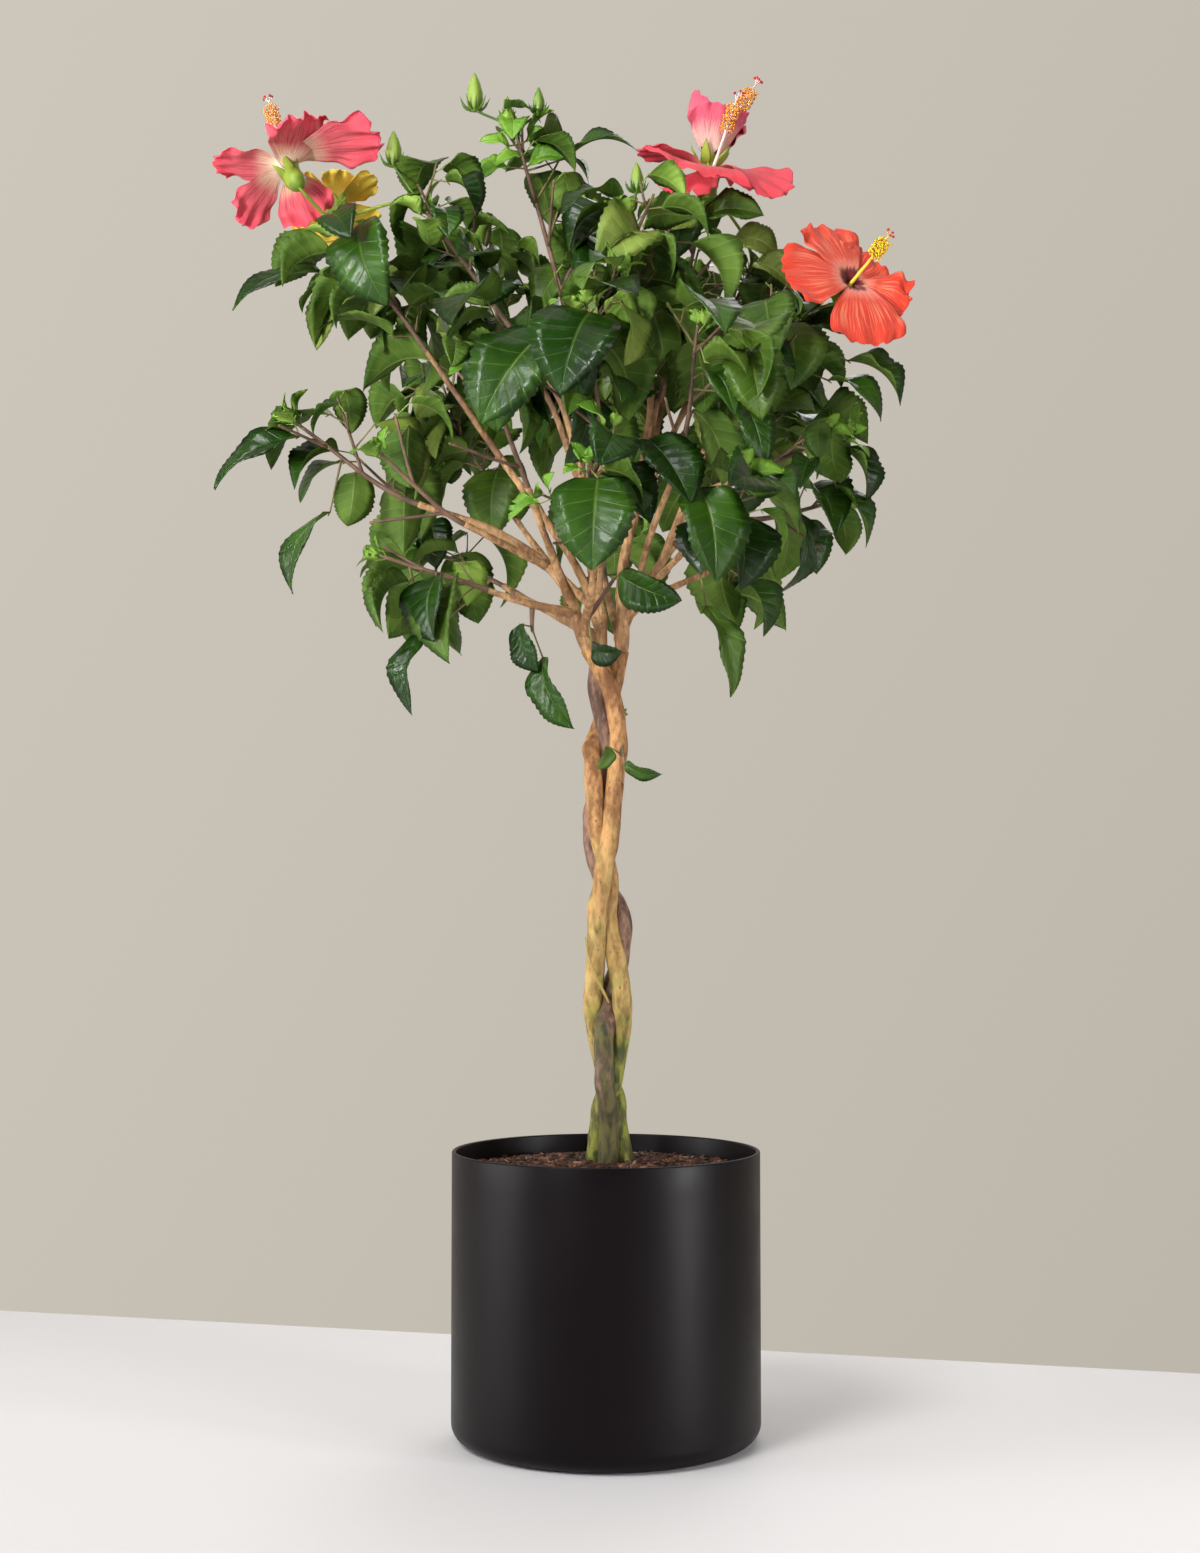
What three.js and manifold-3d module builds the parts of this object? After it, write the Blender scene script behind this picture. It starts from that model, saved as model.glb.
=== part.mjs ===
// A potted hibiscus grown as a small standard tree: three plaited stems rise from the soil of a
// plain round pot and fork into boughs, and every bough ends in a leafy shoot of its own.
// Millimetres, +Z up, origin at the centre of the pot's flat underside, the front towards -Y.

import * as THREE from 'three';
import { mergeVertices } from 'three/addons/utils/BufferGeometryUtils.js';
import Module from 'manifold-3d';

const wasm = await Module();
wasm.setup();

// Driving dimensions

const GAP = 0.3;
const POT = { radius: 150, height: 277, wall: 4, floor: 6, corner: 18, cornerSteps: 3, sides: 36 };
const SOIL = { edge: 255, shoulder: 260, shoulderRadius: 95, crown: 263, flatRadius: 45 };
const STEM = {
  footRadius: 9.6, radius: 8.6, topRadius: 7.2, flareHeight: 26, sides: 7, levels: 26, lean: 1.0,
  pressRounds: 60,
};
const FORK_HEIGHT = 766;
const BOUGH = {
  sides: 5, steps: 5, bentSteps: 7, tipRadius: 2.9, taper: 0.8, shareOfParent: 0.78, leastRadius: 3.9,
};
const SHOOT = { tipRadius: 2.1, sides: 3, steps: 3, nodeStep: 22 };
const TWIG = {
  radius: 2.5, radii: [1.1, 2.4, 2.0], longest: 88, shortest: 46, angle: 0.95, every: 2,
  leastNodes: 2, swing: 0.9, shrink: 0.08, outward: 0.35, lift: 0.08,
};
const ROSETTE = { shoot: [0.95, 0.8, 0.65], twig: [0.85, 0.65], step: 9, inset: 1.5 };
const LEAF = {
  shortest: 66, longest: 96, halfWidth: 0.335, widest: 0.38, fold: 0.2, keel: 1.1,
  sagLeast: 0.06, sagMost: 0.24, droopLeast: 0.0, droopMost: 0.95, droopLow: 0.5, droopStep: 0.12,
  petioleLeast: 0.2, petioleMost: 0.42, petioleRadius: 1.1, rootRadius: 0.75,
  roll: 0.45, lean: 0.6, facing: 0.6, swing: 0.35, shrink: 0.05,
  singleSag: 0.1, singleFacing: [0, -0.7, 0.3], longestStalk: 42,
};
const SPACE = {
  margin: 1.2, limbClearance: 5, twigGap: 1, twigClearance: 2, leafClearance: 7, singleClearance: 9,
  bloomClearance: 4, lowest: 800,
};
const TRIES = 6;
const SEED = 101;
const SEED_STEP = 37;
const CROWN = { bottom: 800, centre: 960, top: 1250 };
const MERGE = 0.02;
const WELD = 1e-3;
const NEGLIGIBLE = 1e-6;
const NEARLY_UPRIGHT = 0.9;
const GOLDEN_ANGLE = Math.PI * (3 - Math.sqrt(5));
const UP = new THREE.Vector3(0, 0, 1);

// The plait: at each height, how far each stem lies to the right of the axis and behind it.

const PLAIT = [
  { height: SOIL.crown + GAP, stems: [[18, 6], [3, -9], [-10, 7]] },
  { height: 300, stems: [[13, 10], [3, -11], [-7, 6]] },
  { height: 340, stems: [[5, 16], [0, -15], [5, 0]] },
  { height: 384, stems: [[-8, 9], [-2, -12], [15, 1]] },
  { height: 425, stems: [[-13, -1], [3, 6], [17, -8]] },
  { height: 463, stems: [[-11, -8], [16, 11], [11, -7]] },
  { height: 500, stems: [[-8, -11], [15, 9], [4, 2]] },
  { height: 548, stems: [[-2, -15], [-6, 15], [1, 0]] },
  { height: 590, stems: [[4, -11], [-15, 11], [-8, -3]] },
  { height: 640, stems: [[11, -4], [-6, 12], [-14, -5]] },
  { height: 672, stems: [[14, -9], [1, 3], [-12, 6]] },
  { height: 700, stems: [[11, -13], [-4, -1], [-3, 15]] },
  { height: 728, stems: [[4, -15], [-10, 2], [7, 13]] },
  { height: FORK_HEIGHT, stems: [[-17, -13], [-6, 5], [15, 7]] },
];

// The branches: the limb each grows on and how far along it, the places its bough passes through,
// the bough's tip, the end of the leafy shoot beyond it, and how far its leaves reach from it.
// One with no tip is a shoot without a bough. A single leaf that stands out is given by where its
// stalk leaves the shoot, its neck, its tip and half its width.

const BRANCHES = [
  { name: 'leader', on: 'stem_2', share: 1, via: [[-14, 8, 856], [-26, 10, 965]], tip: [-34, 4, 1056],
    end: [-88, 0, 1280], reach: 92,
    leaves: [{ at: 0.85, neck: [-38, -10, 1256], tip: [32, -12, 1265], half: 12 }] },
  { name: 'left', on: 'stem_1', share: 1, via: [[-45, -20, 833], [-104, -14, 879]], tip: [-184, -18, 908],
    end: [-306, -28, 988], reach: 92, lowest: 790,
    leaves: [{ at: 1, neck: [-300, -24, 974], tip: [-385, -24, 923], half: 17 },
      { at: 0.6, neck: [-268, -40, 897], tip: [-308, -45, 818], half: 14 }] },
  { name: 'top_right', on: 'stem_3', share: 1, via: [[17, 20, 850], [36, 36, 943]], tip: [52, 26, 1022],
    end: [92, 5, 1185], reach: 88 },
  { name: 'upper_left', on: 'leader', share: 0.1, via: [[-33, -12, 854], [-99, -28, 946]],
    tip: [-176, -38, 1056], end: [-262, -45, 1172], reach: 98,
    leaves: [{ at: 0.7, neck: [-278, -36, 1134], tip: [-368, -36, 1101], half: 17 },
      { at: 0.8, neck: [-234, -85, 1169], tip: [-210, -100, 1084], half: 30 }] },
  { name: 'mid_left', on: 'leader', share: 0.6, via: [[-48, -4, 1020]], tip: [-92, -10, 1082],
    end: [-176, -22, 1196], reach: 84 },
  { name: 'right', on: 'top_right', share: 0.1, via: [[46, 2, 838], [86, 0, 912]], tip: [134, 0, 939],
    end: [219, 0, 976], reach: 88, lowest: 840,
    leaves: [{ at: 0.9, neck: [226, -10, 929], tip: [260, -15, 868], half: 15 },
      { at: 1, neck: [232, -5, 967], tip: [258, -10, 910], half: 16 }] },
  { name: 'left_inner', on: 'left', share: 0.42, via: [[-104, -52, 866]], tip: [-136, -68, 880],
    end: [-212, -104, 940], reach: 84, lowest: 820 },
  { name: 'low_left', on: 'left', share: 0.17, via: [[-76, -34, 808]], tip: [-114, -40, 820],
    end: [-216, -48, 852], reach: 100, lowest: 690,
    leaves: [{ at: 0.5, neck: [-162, -70, 830], tip: [-166, -95, 765], half: 30 },
      { at: 0.75, neck: [-176, -40, 779], tip: [-190, -45, 698], half: 15 }] },
  { name: 'right_low', on: 'right', share: 0.62, via: [[122, 18, 898]], tip: [150, 24, 900],
    end: [226, 30, 918], reach: 84, lowest: 800,
    leaves: [{ at: 0.6, neck: [193, 12, 905], tip: [177, 6, 822], half: 17 }] },
  { name: 'bloom_right', on: 'right', share: 0.5, via: [[92, -16, 950]], tip: [124, -20, 1000],
    end: [188, -26, 1088], reach: 84, lowest: 940,
    leaves: [{ at: 0.8, neck: [236, -30, 1048], tip: [290, -40, 1005], half: 16 },
      { at: 0.6, neck: [216, -40, 1026], tip: [268, -50, 985], half: 16 }] },
  { name: 'right_top', on: 'top_right', share: 0.5, via: [[72, 52, 1000]], tip: [96, 56, 1050],
    end: [146, 55, 1158], reach: 88 },
  { name: 'top_front', on: 'top_right', share: 0.6, via: [[44, -12, 1010]], tip: [36, -46, 1058],
    end: [24, -100, 1168], reach: 88 },
  { name: 'front_right', on: 'right', share: 0.14, via: [[40, -58, 862]], tip: [64, -108, 920],
    end: [84, -164, 1046], reach: 88, lowest: 860,
    leaves: [{ at: 0.6, neck: [119, -150, 989], tip: [146, -175, 916], half: 17 },
      { at: 0.3, neck: [38, -190, 937], tip: [76, -215, 873], half: 24 }] },
  { name: 'front_low_right', on: 'right', share: 0.24, via: [[62, -56, 842]], tip: [82, -94, 858],
    end: [116, -186, 904], reach: 88,
    leaves: [{ at: 0.8, neck: [85, -192, 893], tip: [98, -215, 804], half: 29 }] },
  { name: 'front_high', on: 'leader', share: 0.18, via: [[-6, -70, 886]], tip: [-6, -122, 940],
    end: [-18, -204, 1054], reach: 92, lowest: 900,
    leaves: [{ at: 0.8, neck: [-55, -215, 1029], tip: [-114, -235, 945], half: 31 },
      { at: 1, neck: [-15, -225, 1045], tip: [-41, -255, 963], half: 35 }] },
  { name: 'front_low', on: 'left', share: 0.07, via: [[-14, -62, 816]], tip: [-10, -104, 842],
    end: [-16, -222, 906], reach: 88,
    leaves: [{ at: 1, neck: [-8, -240, 893], tip: [-13, -265, 809], half: 33 }] },
  { name: 'front_left', on: 'left', share: 0.22, via: [[-58, -66, 868]], tip: [-74, -100, 910],
    end: [-112, -186, 1006], reach: 92 },
  { name: 'back_left', on: 'leader', share: 0.14, via: [[-58, 66, 862]], tip: [-102, 114, 928],
    end: [-172, 194, 1040], reach: 92 },
  { name: 'back_mid', on: 'leader', share: 0.25, via: [[-12, 72, 910]], tip: [-14, 122, 976],
    end: [-16, 218, 1100], reach: 92 },
  { name: 'back_right', on: 'top_right', share: 0.16, via: [[62, 72, 870]], tip: [104, 116, 932],
    end: [168, 192, 1050], reach: 92 },
  { name: 'back_low_left', on: 'leader', share: 0.05, via: [[-62, 74, 816]], tip: [-106, 120, 846],
    end: [-192, 200, 900], reach: 92, lowest: 780 },
  { name: 'back_low', on: 'top_right', share: 0.04, via: [[4, 76, 822]], tip: [0, 124, 852],
    end: [-4, 238, 922], reach: 92, lowest: 780 },
  { name: 'back_low_right', on: 'right', share: 0.1, via: [[66, 66, 836]], tip: [108, 112, 860],
    end: [186, 190, 910], reach: 92, lowest: 780 },
  { name: 'back_high_left', on: 'leader', share: 0.52, via: [[-54, 58, 1020]], tip: [-86, 84, 1078],
    end: [-140, 124, 1194], reach: 88 },
  { name: 'back_high_right', on: 'top_right', share: 0.45, via: [[52, 84, 1000]], tip: [62, 108, 1056],
    end: [92, 148, 1170], reach: 88 },
  { name: 'fork_left', on: 'low_left', share: 0.45, end: [-72, -22, 784], reach: 90, lowest: 670,
    leaves: [{ at: 0.9, neck: [-84, -25, 789], tip: [-66, -35, 740], half: 13 },
      { at: 1, neck: [-62, -24, 757], tip: [-31, -35, 685], half: 15 }] },
  { name: 'fork_right', on: 'right', share: 0.5, end: [92, -12, 842], reach: 90, lowest: 700,
    leaves: [{ at: 1, neck: [98, -15, 809], tip: [123, -15, 718], half: 13 }] },
  { name: 'fork_front', on: 'front_low', share: 0.15, end: [8, -52, 830], reach: 90, lowest: 740,
    leaves: [{ at: 1, neck: [12, -60, 832], tip: [71, -75, 804], half: 17 },
      { at: 0.1, neck: [-14, -34, 764], tip: [15, -48, 759], half: 12 }] },
  { name: 'stem_sprig', on: 'stem_1', share: 0.78, end: [16, -24, 668], reach: 60, lowest: 630,
    leaves: [{ at: 1, neck: [18, -28, 652], tip: [54, -34, 640], half: 8 },
      { at: 0.5, neck: [4, -32, 668], tip: [-8, -38, 646], half: 7 }] },
];

// Blooms: the branch whose shoot carries it, its eye, the way it faces, its radius, and how far it
// has opened (1 is flat open). In turn they are pink, coral, orange, yellow and one still furled.

const BLOOMS = [
  { on: 'upper_left', eye: [-293, -50, 1232], facing: [-0.35, 0.25, 0.9], radius: 72, open: 1 },
  { on: 'top_right', eye: [106, 0, 1238], facing: [0.2, -0.2, 0.95], radius: 70, open: 1 },
  { on: 'bloom_right', eye: [238, -42, 1122], facing: [0.35, -0.85, 0.4], radius: 60, open: 1 },
  { on: 'mid_left', eye: [-236, 44, 1232], facing: [-0.3, 0.6, 0.74], radius: 52, open: 1 },
  { on: 'right_top', eye: [112, 40, 1284], facing: [0.35, -0.05, 0.93], radius: 40, open: 0.3 },
];
const PETALS = 5;
const BLOOM = {
  depth: 22, column: 0.95, columnRoom: 12, calyx: 24, throat: 3, thickness: 1.6,
  stalkRadius: 1.7, stalkEnd: 4, firstTurn: 0.3, furledWidth: 0.35,
  cupRadii: [3, 8], cupSides: 5, columnRadii: [2.2, 4.2], columnSides: 4,
  petal: [[0, 0.05, -0.04], [0.8, 0.47, 0.03], [1, 0.3, -0.05]],
};
const BUD = {
  shares: [0, 0.3, 0.7, 1], widths: [0.1, 0.32, 0.24, 0.05], sides: 4,
  stalkRadius: 1.3, stalkSteps: 2, stalkSunk: 2,
};

// Buds: the branch whose shoot carries it, its tip, and its length.

const BUDS = [
  { on: 'leader', tip: [-131, -2, 1345], length: 34 },
  { on: 'leader', tip: [-99, 10, 1326], length: 20 },
  { on: 'leader', tip: [-67, -4, 1330], length: 24 },
  { on: 'upper_left', tip: [-292, -112, 1238], length: 30 },
  { on: 'mid_left', tip: [-209, -30, 1277], length: 32 },
  { on: 'top_front', tip: [29, -100, 1222], length: 26 },
];

// Geometry helpers

const vector = ([x, y, z]) => new THREE.Vector3(x, y, z);
const along = (from, direction, distance) => from.clone().addScaledVector(direction, distance);

// A repeatable source of numbers between 0 and 1.
function seeded(seed) {
  let state = seed >>> 0;
  return () => {
    state = (Math.imul(state, 1664525) + 1013904223) >>> 0;
    return state / 4294967296;
  };
}

// A smooth line through the places, as evenly spread parameters, with the given start direction.
function smoothLine(places, steps, startDirection) {
  const last = places.length - 1;
  const slopes = places.map((place, i) => {
    const before = places[Math.max(i - 1, 0)];
    const after = places[Math.min(i + 1, last)];
    const spread = i === 0 || i === last ? 1 : 2;
    return after.clone().sub(before).divideScalar(spread);
  });
  if (startDirection) {
    slopes[0] = startDirection.clone().multiplyScalar(slopes[0].length());
  }
  const line = [];
  for (let step = 0; step <= steps; step++) {
    const at = (step / steps) * last;
    const i = Math.min(Math.floor(at), last - 1);
    const t = at - i;
    line.push(new THREE.Vector3()
      .addScaledVector(places[i], 2 * t ** 3 - 3 * t ** 2 + 1)
      .addScaledVector(slopes[i], t ** 3 - 2 * t ** 2 + t)
      .addScaledVector(places[i + 1], -2 * t ** 3 + 3 * t ** 2)
      .addScaledVector(slopes[i + 1], t ** 3 - t ** 2));
  }
  return line;
}

function directionAt(line, i) {
  const before = line[Math.max(i - 1, 0)];
  const after = line[Math.min(i + 1, line.length - 1)];
  return after.clone().sub(before).normalize();
}

function pointOn(line, share) {
  const at = share * (line.length - 1);
  const i = Math.min(Math.floor(at), line.length - 2);
  return line[i].clone().lerp(line[i + 1], at - i);
}

function directionOn(line, share) {
  const i = Math.min(Math.floor(share * (line.length - 1)), line.length - 2);
  return line[i + 1].clone().sub(line[i]).normalize();
}

// Two unit vectors square to a direction and to each other.
function squareTo(direction, hint) {
  const start = hint ?? (Math.abs(direction.z) < NEARLY_UPRIGHT ? UP : new THREE.Vector3(1, 0, 0));
  const first = start.clone().addScaledVector(direction, -start.dot(direction)).normalize();
  return [first, direction.clone().cross(first)];
}

function ringAt(centre, first, second, radius, sides) {
  const ring = [];
  for (let side = 0; side < sides; side++) {
    const angle = (side / sides) * 2 * Math.PI;
    ring.push(centre.clone()
      .addScaledVector(first, radius * Math.cos(angle))
      .addScaledVector(second, radius * Math.sin(angle)));
  }
  return ring;
}

// A closed solid through rings of equal count, its start capped and its end capped or drawn to a point.
function loft(rings, point) {
  const sides = rings[0].length;
  const lastRing = (rings.length - 1) * sides;
  const faces = [];
  for (let start = 0; start < lastRing; start += sides) {
    for (let side = 0; side < sides; side++) {
      const a = start + side;
      const b = start + (side + 1) % sides;
      faces.push(a, b, b + sides, a, b + sides, a + sides);
    }
  }
  for (let side = 1; side + 1 < sides; side++) {
    faces.push(0, side + 1, side);
    if (!point) faces.push(lastRing, lastRing + side, lastRing + side + 1);
  }
  if (point) {
    for (let side = 0; side < sides; side++) {
      faces.push(lastRing + side, lastRing + (side + 1) % sides, lastRing + sides);
    }
  }
  const geometry = new THREE.BufferGeometry().setFromPoints([...rings.flat(), ...(point ? [point] : [])]);
  geometry.setIndex(faces);
  return geometry;
}

// Rings along a line; the first is square to the start direction where one is given.
function tubeRings(line, radii, sides, startDirection) {
  let hint = null;
  return line.map((place, i) => {
    const direction = i === 0 && startDirection ? startDirection : directionAt(line, i);
    const [first, second] = squareTo(direction, hint);
    hint = first;
    return ringAt(place, first, second, radii[i], sides);
  });
}

function toSolid(geometry) {
  const bare = geometry.clone();
  bare.deleteAttribute('normal');
  bare.deleteAttribute('uv');
  const merged = mergeVertices(bare, WELD);
  return new wasm.Manifold(new wasm.Mesh({
    numProp: 3,
    vertProperties: new Float32Array(merged.attributes.position.array),
    triVerts: new Uint32Array(merged.index.array),
  }));
}

function toGeometry(solid) {
  const mesh = solid.getMesh();
  const geometry = new THREE.BufferGeometry();
  geometry.setAttribute('position', new THREE.BufferAttribute(mesh.vertProperties, 3));
  geometry.setIndex(new THREE.BufferAttribute(mesh.triVerts, 1));
  return geometry;
}

// The largest shell of a solid on its own: scraps are dropped and sealed hollows are filled.
function mainPiece(solid) {
  const shells = toSolid(toGeometry(solid)).decompose();
  return shells.reduce((best, shell) => (shell.volume() > best.volume() ? shell : best));
}

// Distance from a point to the stretch between a and b.
function distanceToStretch(point, a, b) {
  const run = b.clone().sub(a);
  const share = THREE.MathUtils.clamp(point.clone().sub(a).dot(run) / run.lengthSq(), 0, 1);
  return point.distanceTo(along(a, run, share));
}

// The pot and its soil

function makePot() {
  const outline = [new THREE.Vector2(0, 0)];
  for (let step = 0; step <= POT.cornerSteps; step++) {
    const angle = (step / POT.cornerSteps) * Math.PI / 2;
    outline.push(new THREE.Vector2(
      POT.radius - POT.corner * (1 - Math.sin(angle)),
      POT.corner * (1 - Math.cos(angle)),
    ));
  }
  outline.push(new THREE.Vector2(POT.radius, POT.height));
  outline.push(new THREE.Vector2(POT.radius - POT.wall, POT.height));
  outline.push(new THREE.Vector2(POT.radius - POT.wall, POT.corner));
  outline.push(new THREE.Vector2(POT.radius - POT.corner, POT.floor));
  outline.push(new THREE.Vector2(0, POT.floor));
  return new THREE.LatheGeometry(outline, POT.sides).rotateX(Math.PI / 2);
}

function makeSoil() {
  const radius = POT.radius - POT.wall - GAP / Math.cos(Math.PI / POT.sides);
  const outline = [
    new THREE.Vector2(0, POT.floor + GAP),
    new THREE.Vector2(POT.radius - POT.corner - GAP, POT.floor + GAP),
    new THREE.Vector2(radius, POT.corner + GAP),
    new THREE.Vector2(radius, SOIL.edge),
    new THREE.Vector2(SOIL.shoulderRadius, SOIL.shoulder),
    new THREE.Vector2(SOIL.flatRadius, SOIL.crown),
    new THREE.Vector2(0, SOIL.crown),
  ];
  return new THREE.LatheGeometry(outline, POT.sides).rotateX(Math.PI / 2);
}

// The plaited stems

function stemRadius(share) {
  const height = share * (FORK_HEIGHT - PLAIT[0].height);
  const flare = Math.max(0, 1 - height / STEM.flareHeight);
  return STEM.radius + (STEM.topRadius - STEM.radius) * share + (STEM.footRadius - STEM.radius) * flare ** 2;
}

// One number of the plait at a height: a cubic between the heights of the table.
function plaitAt(stem, axis, height) {
  const last = PLAIT.length - 1;
  let i = 0;
  while (i < last - 1 && PLAIT[i + 1].height < height) i++;
  const value = (k) => PLAIT[THREE.MathUtils.clamp(k, 0, last)].stems[stem][axis];
  const level = (k) => PLAIT[THREE.MathUtils.clamp(k, 0, last)].height;
  const slope = (k) => (value(k + 1) - value(k - 1)) / (level(k + 1) - level(k - 1));
  const span = level(i + 1) - level(i);
  const t = (height - level(i)) / span;
  return (2 * t ** 3 - 3 * t ** 2 + 1) * value(i) + (t ** 3 - 2 * t ** 2 + t) * span * slope(i)
    + (-2 * t ** 3 + 3 * t ** 2) * value(i + 1) + (t ** 3 - t ** 2) * span * slope(i + 1);
}

// The stems' centre lines, pressed apart at every level until no two share a place.
function plaitLines() {
  const lines = [[], [], []];
  const pairs = [[0, 1], [1, 2], [0, 2]];
  for (let level = 0; level <= STEM.levels; level++) {
    const share = level / STEM.levels;
    const height = PLAIT[0].height + share * (FORK_HEIGHT - PLAIT[0].height);
    const places = lines.map((_, stem) => new THREE.Vector3(
      plaitAt(stem, 0, height), plaitAt(stem, 1, height), height));
    const apart = 2 * (stemRadius(share) + GAP + STEM.lean);
    for (let round = 0; round < STEM.pressRounds; round++) {
      for (const [a, b] of pairs) {
        const between = places[b].clone().sub(places[a]);
        const push = (apart - between.length()) / 2;
        if (push > 0) {
          between.normalize();
          places[a].addScaledVector(between, -push);
          places[b].addScaledVector(between, push);
        }
      }
    }
    places.forEach((place, stem) => lines[stem].push(place));
  }
  return lines;
}

// Limbs: each has a name, a centre line and a radius at every point of it.

function makeStemLimbs() {
  return plaitLines().map((line, i) => ({
    name: `stem_${i + 1}`,
    line,
    radii: line.map((_, level) => stemRadius(level / STEM.levels)),
    isStem: true,
  }));
}

function stemGeometry(limb) {
  const rings = limb.line.map((place, i) => ringAt(
    place, new THREE.Vector3(1, 0, 0), new THREE.Vector3(0, 1, 0), limb.radii[i], STEM.sides));
  return loft(rings);
}

function radiusOn(limb, share) {
  const at = share * (limb.radii.length - 1);
  const i = Math.min(Math.floor(at), limb.radii.length - 2);
  return THREE.MathUtils.lerp(limb.radii[i], limb.radii[i + 1], at - i);
}

function makeBoughLimb(branch, limbs) {
  const parent = limbs.find((limb) => limb.name === branch.on);
  const onTop = branch.share === 1;
  const start = onTop
    ? along(parent.line[parent.line.length - 1], UP, GAP)
    : pointOn(parent.line, branch.share);
  const parentRadius = radiusOn(parent, branch.share);
  const firstRadius = onTop ? parentRadius : Math.max(parentRadius * BOUGH.shareOfParent, BOUGH.leastRadius);
  const lead = onTop ? directionOn(parent.line, 1) : null;
  const steps = branch.via.length > 1 ? BOUGH.bentSteps : BOUGH.steps;
  const line = smoothLine([start, ...branch.via.map(vector), vector(branch.tip)], steps, lead);
  const radii = line.map((_, i) => {
    const share = i / (line.length - 1);
    return firstRadius + (BOUGH.tipRadius - firstRadius) * share ** BOUGH.taper;
  });
  return { name: branch.name, line, radii, squareStart: onTop ? UP : null };
}

// What is left of a solid once it stands clear of a limb by the gap.
function clearOf(solid, limb) {
  const radii = limb.radii.map((radius) => radius + GAP / Math.cos(Math.PI / BOUGH.sides));
  const swollen = limb.isStem
    ? stemGeometry({ line: limb.line, radii })
    : loft(tubeRings(limb.line, radii, BOUGH.sides, limb.squareStart));
  const cut = solid.subtract(toSolid(swollen));
  return cut.volume() < solid.volume() - NEGLIGIBLE ? mainPiece(cut) : solid;
}

// A bough's solid, its butt cut clear of every limb made before it.
function boughSolid(limb, earlier) {
  const whole = toSolid(loft(tubeRings(limb.line, limb.radii, BOUGH.sides, limb.squareStart)));
  return earlier.reduce(clearOf, whole);
}

// The space of each mass: its side of the plane midway to every other mass's shoot, within reach.

function closestBetween(a, b) {
  let best = null;
  const parts = 24;
  for (let i = 0; i <= parts; i++) {
    const onA = a[0].clone().lerp(a[1], i / parts);
    const run = b[1].clone().sub(b[0]);
    const share = THREE.MathUtils.clamp(onA.clone().sub(b[0]).dot(run) / run.lengthSq(), 0, 1);
    const onB = along(b[0], run, share);
    const distance = onA.distanceTo(onB);
    if (!best || distance < best.distance) best = { distance, onA, onB };
  }
  return best;
}

function wallsOf(spines, index) {
  const walls = [];
  spines.forEach((spine, other) => {
    if (other === index) return;
    const [low, high] = index < other ? [index, other] : [other, index];
    const { onA, onB } = closestBetween(spines[low], spines[high]);
    const middle = onA.clone().lerp(onB, 0.5);
    const outward = (index === low ? onB.clone().sub(onA) : onA.clone().sub(onB)).normalize();
    walls.push({ outward, limit: outward.dot(middle) });
  });
  return walls;
}

function inSpace(point, space, margin) {
  if (point.z < space.lowest) return false;
  if (distanceToStretch(point, space.spine[0], space.spine[1]) > space.reach) return false;
  return space.walls.every((wall) => wall.outward.dot(point) < wall.limit - margin);
}

// Leaves

const ACROSS = [-1, -0.5, 0, 0.5, 1];
const LEAF_ROW = ACROSS.length;
const LEAF_SAMPLES = [0.02, 0.16, 0.3, 0.44, 0.58, 0.72, 0.86, 1]
  .flatMap((u) => ACROSS.map((side) => [u, side]));

// Half the blade's width at a share of its length, against its widest.
function bladeShape(u) {
  return u < LEAF.widest ? u / LEAF.widest : (1 - u) / (1 - LEAF.widest);
}

function bladePoint(leaf, u, side) {
  const x = side * leaf.length * leaf.half * bladeShape(u);
  return along(leaf.neck, leaf.axis, leaf.length * u)
    .addScaledVector(leaf.normal, leaf.length * -leaf.sag * u * u + Math.abs(x) * LEAF.fold)
    .addScaledVector(leaf.side, x);
}

function makeLeaf(node, petiole, heading, length, petioleLength, droop, roll, sag) {
  const flat = new THREE.Vector3(heading.x, heading.y, 0).normalize();
  const axis = flat.multiplyScalar(Math.cos(droop)).addScaledVector(UP, -Math.sin(droop));
  const upright = UP.clone().addScaledVector(axis, -axis.z).normalize();
  const level = axis.clone().cross(upright);
  const normal = upright.multiplyScalar(Math.cos(roll)).addScaledVector(level, Math.sin(roll));
  const side = axis.clone().cross(normal);
  const neck = along(node, petiole, petioleLength);
  const leaf = { node, petiole, neck, axis, normal, side, length, sag, half: LEAF.halfWidth };
  leaf.samples = LEAF_SAMPLES.map(([u, across]) => bladePoint(leaf, u, across));
  return leaf;
}

// A leaf as three-cornered sections from its root, sunk in the twig, to its tip.
function leafSolid(leaf) {
  const keel = bladePoint(leaf, LEAF.widest, 0).addScaledVector(leaf.normal, -LEAF.keel);
  const section = (centre, towards, size) => {
    const [first, second] = squareTo(towards, leaf.normal.clone().negate());
    return ringAt(centre, first, second, size, 3);
  };
  return toSolid(loft([
    section(leaf.node, leaf.petiole, LEAF.rootRadius),
    section(leaf.neck, leaf.axis, LEAF.petioleRadius),
    [keel, bladePoint(leaf, LEAF.widest, -1), bladePoint(leaf, LEAF.widest, 1)],
  ], bladePoint(leaf, 1, 0)));
}

// Whether every one of some points is further than a distance from every one of some others.
function farApart(points, others, distance) {
  const least = distance ** 2;
  return points.every((point) => others.every((other) => point.distanceToSquared(other) > least));
}

function clearOfStretches(points, stretches, distance) {
  return stretches.every(({ a, b, radius }) =>
    points.every((point) => distanceToStretch(point, a, b) > radius + distance));
}

// Growth: whether a new leaf or twig finds room in its mass, and away from limbs, blooms and the
// leaves that stand out.

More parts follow.
